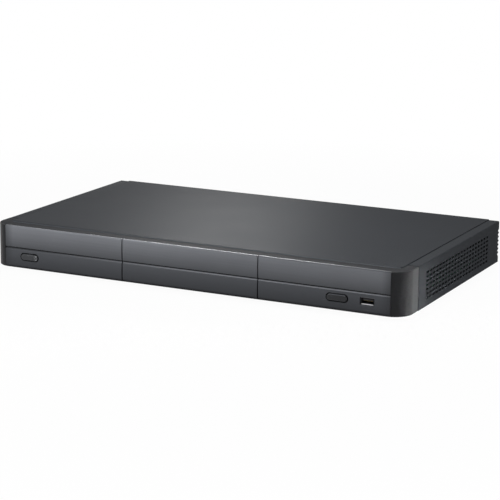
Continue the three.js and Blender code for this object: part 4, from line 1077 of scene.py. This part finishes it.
def inwards(y_mouth, way, first, last):
    """A span of depth behind a socket's mouth."""
    return sorted((y_mouth + way * first, y_mouth + way * last))


def usb_lip(middle, y_mouth):
    """The rolled lip in which the floor of the front shell ends, made bright as a painted highlight."""
    x, z = middle
    floor_at = z - usb_height / 2
    y = (y_mouth, y_mouth + front_set_back - 0.05)
    lip = box(about(x, usb_width / 2 - lip_inset), y, (floor_at, floor_at + lip_thickness))
    return soften(lip, at_depth(y_mouth), 0.3, 4)


def usb_shell(middle, y_mouth, way, set_back):
    """The folded shell, whose mouth may stand back from the panel."""
    y_mouth += way * set_back
    ends = inwards(y_mouth, way, 0, usb_depth - set_back)

    def tube(inset, y):
        return soften(brick(usb_width, usb_height, middle, y, -inset), runs_back, shell_bend - inset, 4)

    bore = tube(shell_wall, (ends[0] - 1, ends[1] + 1))
    floor_at = middle[1] - usb_height / 2
    slit_span = inwards(y_mouth, way, slit_start, slit_start + slit_length)
    slits = [brick(slit_width, 2, (middle[0] + side, floor_at), slit_span)
             for side in (-slit_across, slit_across)]
    return cut(cut(tube(0, ends), bore), *slits)


print("USB shell ready")

# %% [markdown]
# The tongue is a plastic blade on a base that fills the shell's far end, and four flat contacts lie on its
# lower face. They could be painted on as a pattern, but the metal stands a little proud, so each contact is
# a thin block.

# %% USB tongue and contacts
tongue_width, tongue_thickness, tongue_start = 11, 1.9, 2
base_width, base_height, base_length = 11.9, 4.9, 2.6
contact_places, contact_width = (-3.5, -1.0, 1.0, 3.5), 1.0
contact_start = 2.6
front_mouth = 0.6
rear_face = 246.2
board_top = 8.6
socket_lift = 0.8
rear_usb = (2.15, board_top + socket_lift + usb_height / 2)


def usb_tongue(middle, y_mouth, way):
    x, z = middle
    base = brick(base_width, base_height, middle, inwards(y_mouth, way, usb_depth - base_length, usb_depth))
    reach = inwards(y_mouth, way, tongue_start, usb_depth - 1)
    tongue = box(about(x, tongue_width / 2), reach, (z, z + tongue_thickness))
    return joined(base, soften(tongue, at_depth(y_mouth + way * tongue_start), 0.35))


def usb_contacts(middle, y_mouth, way):
    x, z = middle
    reach = inwards(y_mouth, way, contact_start, usb_depth - base_length - 0.1)
    half = contact_width / 2
    return together(*[box(about(x + place, half), reach, (z - 0.12, z + 0.06)) for place in contact_places])


def show_usb(side, middle, mouth, way, finish, set_back):
    show(f"{side}_usb_case", usb_shell(middle, mouth, way, set_back), finish,
         [f"{side}_usb_shell"])
    show(f"{side}_usb_blade", usb_tongue(middle, mouth, way), black_plastic,
         [f"{side}_usb_tongue"])
    show(f"{side}_usb_contacts", usb_contacts(middle, mouth, way), gilt_contact)


show_usb("front", usb_place, front_mouth, 1, dull_shell, front_set_back)
show_usb("rear", rear_usb, rear_face, -1, bright_shell, 0.0)
show("front_usb_lip", usb_lip(usb_place, front_mouth), lip_steel)

# %% [markdown]
# Feet
#
# Four low rubber feet are pressed into the bottom. A plain disc would do from afar, but seen from below a
# foot has a hollow, a tread and a tapered side. So it is a turned part, whose profile runs from the hollow
# over the tread and the side to the peg that the tray holds.

# %% Turned feet
# The radius and the height of each point, with the underside of the tray at zero
foot_profile = [
    (0, -2.8), (3.8, -2.8), (4.0, -2.9), (4.1, -3.8), (4.3, -4.0), (9.2, -4.0), (9.7, -3.85), (9.9, -3.4),
    (10.95, -0.15), (10.8, 0.0), (2.4, 0.0), (2.4, 2.5), (0, 2.5),
]
for node in ("foot_front_left", "foot_front_right", "foot_back_left", "foot_back_right"):
    low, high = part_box(node)
    middle = ((low.x + high.x) / 2 / MM, ((low.y + high.y) / 2 - front_y) / MM)
    foot = turned(foot_profile, middle, 40, upright=True)
    show(node.replace("foot", "rubber_foot"), foot, foot_rubber, [node])

# %% [markdown]
# Rear panel
#
# A flat steel plate closes the back. Its openings and the sockets in them could each have their own
# numbers, but then they might drift apart. So each socket has one named place that both follow. The sockets
# are soldered to the main board, and their heights are measured from its top.

# %% Socket places
inlet_place = (-180.0, board_top + 7.0)
inlet_width, inlet_height = 22, 14
network_place = (-24.14, board_top + 6.7)
network_width, network_height = 16, 13.4
video_place = (32.035, board_top + socket_lift + 2.8)
video_width, video_height = 15, 5.6
round_up = board_top + 9.6
socket_pitch = 14.0
# The middle of each row of round sockets and its colours along X
socket_rows = {
    "digital_audio_socket": (61.92, ["orange"]),
    "component_socket": (103.2, ["red", "blue", "green"]),
    "audio_video_socket": (162.97, ["red", "white", "yellow"]),
}


def row_places(middle, colours):
    """Where the round sockets of one row stand."""
    half = (len(colours) - 1) / 2
    return [middle + (index - half) * socket_pitch for index in range(len(colours))]


print("rows of round sockets:", {name: row_places(*row) for name, row in socket_rows.items()})

# %% [markdown]
# The plate could be a plain sheet with the sockets stuck on, but they stand in openings with a little air
# round them. So the openings are punched: round-ended slots in front of the fan, plain windows for the
# square sockets, and round holes for the sleeves.

# %% Punched plate
rear_inside = 245.2
clearance = 0.3
fan_across, fan_up, fan_side = -72.025, 17.3, 30.0
slat_rows, slat_pitch, slat_height = 7, 4.0, 2.2
sleeve_hole = 8.9
punch_span = (rear_inside - 1, rear_face + 1)
# The plate is a little narrower at its foot, where it stands between the side lips of the tray
rear_half, rear_top = 213.7, 39.1
rear_foot_half, rear_foot, rear_foot_top = 212.4, 1, 5.5


def grille_slots():
    """Round-ended slots in two halves, each as long as the fan's circle is wide at its height."""
    slots = []
    radius = fan_side / 2 - 1
    for row in range(slat_rows):
        lift = (row - slat_rows // 2) * slat_pitch
        half = math.sqrt(radius ** 2 - (abs(lift) + slat_height / 2) ** 2)
        for hand in (-1, 1):
            middle = (fan_across + hand * (1 + half) / 2, fan_up + lift)
            slots.append(oblong(half - 1, slat_height, middle, punch_span, 16))
    return slots


def rear_plate():
    outline = both_sides([
        (rear_foot_half, rear_foot), (rear_foot_half, rear_foot_top), (rear_half, rear_foot_top),
        (rear_half, rear_top),
    ])
    windows = [
        (inlet_width, inlet_height, inlet_place), (network_width, network_height, network_place),
        (usb_width, usb_height, rear_usb), (video_width, video_height, video_place),
    ]
    holes = grille_slots() + [brick(*window, punch_span, clearance) for window in windows]
    round_places = [x for row in socket_rows.values() for x in row_places(*row)]
    # A punch needs some straight between its round ends, and a thousandth of a millimetre does
    holes += [oblong(sleeve_hole, sleeve_hole - 0.001, (x, round_up), punch_span, 32) for x in round_places]
    return cut(profile(outline, (rear_inside, rear_face), 1), *holes)


show("rear_plate", rear_plate(), rear_paint, ["rear_panel"])

# %% [markdown]
# Round sockets
#
# Each round socket is a metal sleeve round a plastic core with a bore for the plug's pin. Makers colour the
# cores so that cables find their place: red and white for sound, yellow for the picture, green, blue and
# red for component video, and orange for digital sound. Both could be stacked from cylinders, but a turned
# part gets its rounded rim in one go.

# %% Sleeves and coloured cores
sleeve_end = rear_face + 8.5
sleeve_outer, sleeve_bore = 4.15, 3.55
carrier_span = (rear_inside - 0.9, rear_inside - 0.3)
housing_span = (rear_inside - 12.9, rear_inside - 1.05)
housing_width, housing_height = 12, 15
core_colours = {
    "orange": (0.72, 0.20, 0.02), "green": (0.03, 0.30, 0.07), "blue": (0.02, 0.08, 0.45),
    "red": (0.50, 0.02, 0.02), "yellow": (0.75, 0.50, 0.03), "white": (0.72, 0.72, 0.70),
}
core_finishes = {
    name: moulded(f"core_{name}", colour, 0.32, 0.003) for name, colour in core_colours.items()
}


def sleeve(x):
    base = carrier_span[0]
    outline = [(sleeve_bore, base), (sleeve_outer, base), (sleeve_outer, sleeve_end - 0.25),
               (4.0, sleeve_end), (3.7, sleeve_end), (sleeve_bore, sleeve_end - 0.15)]
    return turned(outline, (x, round_up), 36)


def core(x):
    base, end = rear_inside - 1.1, sleeve_end - 0.8
    outline = [(0, base), (3.3, base), (3.3, end - 0.3), (3.0, end), (1.9, end), (1.6, end - 0.3)]
    return turned([*outline, (1.6, end - 8), (0, end - 8)], (x, round_up))


for group, (middle, colours) in socket_rows.items():
    places = row_places(middle, colours)
    width = socket_pitch * (len(colours) - 1) + housing_width
    housing = box(about(middle, width / 2), housing_span, (board_top, board_top + housing_height))
    soften(housing, any_edge, 0.3, 2)
    show(f"{group}_block", housing, black_plastic, [f"{group}_housing"])
    carrier = brick(width, housing_width, (middle, round_up), carrier_span)
    bores = [rod(sleeve_outer, (rear_inside - 2, rear_inside + 1), (x, round_up), 36) for x in places]
    metal_parts = together(cut(carrier, *bores), *[sleeve(x) for x in places])
    node = f"{group}_sleeves" if len(colours) > 1 else f"{group}_sleeve"
    show(f"{group}_metal", metal_parts, bright_shell, [node])
    for x, colour in zip(places, colours):
        show(f"{group}_core_{colour}", core(x), core_finishes[colour])

# %% [markdown]
# Digital video and network sockets
#
# The digital video socket has a shell that is a flat tube with two slanted lower corners. The network
# socket is a moulded block with a stepped mouth: its narrow step takes the plug's latch. Both could be
# filled blocks with a dark front, but a mouth needs its depth to look right from the side, so both are cut
# out.

# %% Shell and jack
video_wall, video_slant, video_depth = 0.5, 1.9, 11
video_end = rear_face - video_depth
root_length, blade_width, blade_thickness = 2.2, 12, 1.4
jack_depth, jack_round = 21, 0.25
mouth_lift, mouth_depth, mouth_width, mouth_height = 4.7, 13, 11.9, 6.8
key_width, key_reach, key_overlap = 6, 8.5, 0.8


def video_part(inset, y, rounding):
    half, top, slant = video_width / 2 - inset, video_height / 2 - inset, video_slant - inset / 2
    pairs = both_sides([(half - slant, -top), (half, top - slant), (half, top)])
    shape = profile([(video_place[0] + x, video_place[1] + z) for x, z in pairs], y, 1)
    return soften(shape, runs_back, rounding)


video_bore = video_part(video_wall, (video_end - 1, rear_face + 1), 0.4)
video_tube = cut(video_part(0, (video_end, rear_face), 0.8), video_bore)
show("hdmi_case", video_tube, bright_shell, ["hdmi_shell"])
video_root = video_part(video_wall + 0.15, (video_end, video_end + root_length), 0.3)
blade_span = (video_end + root_length - 0.2, rear_face - 1)
video_tongue = brick(blade_width, blade_thickness, video_place, blade_span)
show("hdmi_blade", joined(video_root, video_tongue), black_plastic, ["hdmi_tongue"])

jack = brick(network_width, network_height, network_place, (rear_face - jack_depth, rear_face))
soften(jack, any_edge, jack_round, 2)
network_across, network_up = network_place
mouth_top = network_up + mouth_lift
mouth_foot = mouth_top - mouth_height
mouth_span = (rear_face - mouth_depth, rear_face + 1)
mouth = box(about(network_across, mouth_width / 2), mouth_span, (mouth_foot, mouth_top))
key = box(about(network_across, key_width / 2), mouth_span, (mouth_top - key_reach, mouth_foot + key_overlap))
show("network_block", cut(jack, joined(mouth, key)), black_plastic, ["network_jack"])

# %% [markdown]
# Mains inlet
#
# The inlet is a moulded block with an oblong recess and two round pins. They could be one solid, but
# plastic and metal need finishes of their own. So the recess is a softened box that is cut out of the
# block, and the pins are turned, with rounded tips so that the socket of a lead slides on easily.

# %% Inlet and pins
inlet_depth, inlet_round = 19, 0.4
well_width, well_height, well_round = 17, 9.2, 3
pin_across, pin_radius = 4.3, 1.2
pin_start, pin_end = 14.5, 2.5
inlet = brick(inlet_width, inlet_height, inlet_place, (rear_face - inlet_depth, rear_face))
soften(inlet, any_edge, inlet_round, 2)
inlet_mouth = brick(well_width, well_height, inlet_place, mouth_span)
soften(inlet_mouth, runs_back, well_round, 6)
show("inlet_block", cut(inlet, inlet_mouth), black_plastic, ["mains_inlet"])
root, tip = rear_face - pin_start, rear_face - pin_end
pin_profile = [(0, root), (pin_radius, root), (pin_radius, tip - 0.8), (1.0, tip - 0.3), (0.6, tip), (0, tip)]
for name, hand in (("left", -1), ("right", 1)):
    pin = turned(pin_profile, (inlet_place[0] + hand * pin_across, inlet_place[1]), 20)
    show(f"inlet_pin_{name}", pin, bright_shell, [f"mains_pin_{name}"])

# %% [markdown]
# Screws
#
# Three screws hold the cover's rear flange. A screw's head is turned, and a cross is pressed into it. Its
# thread can't be seen once it is driven in, so a plain shank does.

# %% Cross-head screws
screw_up = 36.7
shank_radius, shank_length = 1.4, 7
head_radius, head_height = 3.0, 1.8
cross_length, cross_width = 2.8, 0.7


def screw(x):
    face = case_depth
    shank = [(0, face - shank_length), (shank_radius, face - shank_length), (shank_radius, face)]
    head = [(head_radius, face), (head_radius, face + 0.7), (2.6, face + 1.4), (1.8, face + 1.75),
            (0, face + head_height)]
    cross_span = (face + 0.8, face + 3)
    level_arm = brick(cross_length, cross_width, (x, screw_up), cross_span)
    upright_arm = brick(cross_width, cross_length, (x, screw_up), cross_span)
    return cut(turned(shank + head, (x, screw_up), 28), joined(level_arm, upright_arm))


for name, x in (("left", -170.0), ("centre", 0.0), ("right", 170.0)):
    show(f"flange_screw_{name}", screw(x), zinc_sheet, [f"cover_screw_{name}"])

# %% [markdown]
# Kept solids
#
# What sits inside the case keeps its CAD shape, because little of it is seen through the slots. It gets
# finishes of its own: boards, transformer, capacitors, cables, the fan and the tray.

# %% Finishes of the kept solids
kept_finishes = {
    # The tray is darkened as painted shade, so that the vent slots look dark
    blackened_sheet: ["chassis_tray"],
    zinc_sheet: ["power_switch", "setup_switch"],
    black_plastic: ["power_switch_plunger", "setup_switch_plunger", "remote_receiver", "fan_frame",
                    "fan_rotor"],
    guide_plastic: ["power_lamp"],
    board_lacquer: ["front_board", "main_board", "supply_board"],
    chip_plastic: ["processor", "memory_chip_left", "memory_chip_right"],
    dark_sink: ["processor_heat_sink", "supply_heat_sink"],
    ferrite: ["transformer_core", "line_filter_choke"],
    winding_tape: ["transformer_winding"],
    can_sleeve: ["input_capacitor", "output_capacitor_front", "output_capacitor_back"],
    fuse_glass: ["fuse"],
    cable_cover: ["ribbon_cable", "supply_cable", "fan_cable"],
    gilt_contact: ["network_contacts"],
}
for finish, names in kept_finishes.items():
    for name in names:
        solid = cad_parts[name]
        solid.data.materials.clear()
        solid.data.materials.append(finish)
named = [name for names in kept_finishes.values() for name in names]
bare = [name for name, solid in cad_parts.items() if not solid.hide_render and name not in named]
print("kept solids without a finish:", bare)

# %% [markdown]
# Studio
#
# The player stands on a plain pale floor. A truly white one would throw so much light back that the dark
# sides turn grey. So the camera and mirror-like surfaces see it nearly white, while the light that it
# throws back stays modest, and the player's shadow still darkens it. The world does the same overhead.

# %% Floor and world
fade_start, fade_end = 0.30, 0.75
near_white = 0.96
floor_half_size = 6
world_strength = 0.27


def seen_share(tree):
    """One for rays that come from the camera, from a reflection or from clear plastic, otherwise zero."""
    outputs = tree.add("ShaderNodeLightPath").socket.node.outputs
    camera_ray, glossy_ray, clear_ray = (
        Value(tree, outputs[f"Is {kind} Ray"]) for kind in ("Camera", "Glossy", "Transmission"))
    return (camera_ray + glossy_ray + clear_ray).clamped()


def floor_material():
    """Matt and pale for the light that it throws back, white where it is looked at away from the player."""
    tree = Nodes(bpy.data.materials.new("studio_floor"), "ShaderNodeOutputMaterial")
    matt = tree.add("ShaderNodeBsdfDiffuse", {}, {"Color": tone((0.80, 0.80, 0.80))})
    glow = tree.add("ShaderNodeEmission", {}, {"Strength": 1.0})
    place = tree.add("ShaderNodeTexCoord", output="Object")
    away = tree.add("ShaderNodeVectorMath", {"operation": "LENGTH"}, {0: place}, output="Value")
    white = near_white + away.rising(fade_start, fade_end) * (1 - near_white)
    tree.end(tree.add("ShaderNodeMixShader", {}, {0: seen_share(tree) * white, 1: matt, 2: glow}))
    return tree.owner


def studio_world():
    tree = Nodes(bpy.data.worlds.new("studio"), "ShaderNodeOutputWorld")
    strength = seen_share(tree) * (1 - world_strength) + world_strength
    tree.end(tree.add("ShaderNodeBackground", {}, {"Color": tone((1, 1, 1)), "Strength": strength}))
    return tree.owner


floor_shape = bmesh.new()
bmesh.ops.create_grid(floor_shape, x_segments=1, y_segments=1, size=floor_half_size)
floor = placed("floor", floor_shape)
floor.data.materials.append(floor_material())
scene.world = studio_world()
print("floor and world ready")

# %% [markdown]
# One low lamp at the left front lights the plates, and one overhead lights the top. A third behind the
# player draws the soft streak over the top, and two at the far right draw the bright line down the corner.
# These three have a narrow spread, as if each wore a honeycomb grid, so their light stays where it is
# aimed. A weak lamp fills the side.

# %% Lamps
def lamp(name, place, aim, size, power, spread):
    """An area lamp: place, aim and size in metres, power in watts, spread in degrees."""
    data = bpy.data.lights.new(name, "AREA")
    data.shape = "RECTANGLE"
    data.size, data.size_y = size
    data.energy = power
    data.spread = math.radians(spread)
    item = bpy.data.objects.new(name, data)
    item.location = place
    item.visible_camera = False
    item.rotation_euler = (Vector(aim) - Vector(place)).to_track_quat("-Z", "Y").to_euler()
    scene.collection.objects.link(item)


lamp("front_lamp", (-0.34, -0.62, 0.20), (-0.08, -0.12, 0.02), (0.30, 0.20), 1.5, 180)
lamp("top_lamp", (0.16, -0.12, 0.52), (0.06, -0.10, 0.04), (0.24, 0.14), 1.5, 180)
lamp("streak_lamp", (-0.60, 1.10, 0.60), (-0.01, -0.05, 0.04), (0.26, 0.26), 0.38, 34)
lamp("corner_lamp", (1.25, 0.60, 0.16), (0.216, -0.115, 0.02), (0.20, 0.30), 0.03, 8)
lamp("corner_line_lamp", (1.33, 0.55, 0.085), (0.208, -0.147, 0.02), (0.06, 0.24), 0.21, 5.5)
lamp("side_lamp", (0.55, -0.10, 0.10), (0.215, -0.06, 0.02), (0.10, 0.14), 0.34, 180)
scene.view_settings.view_transform = "Standard"
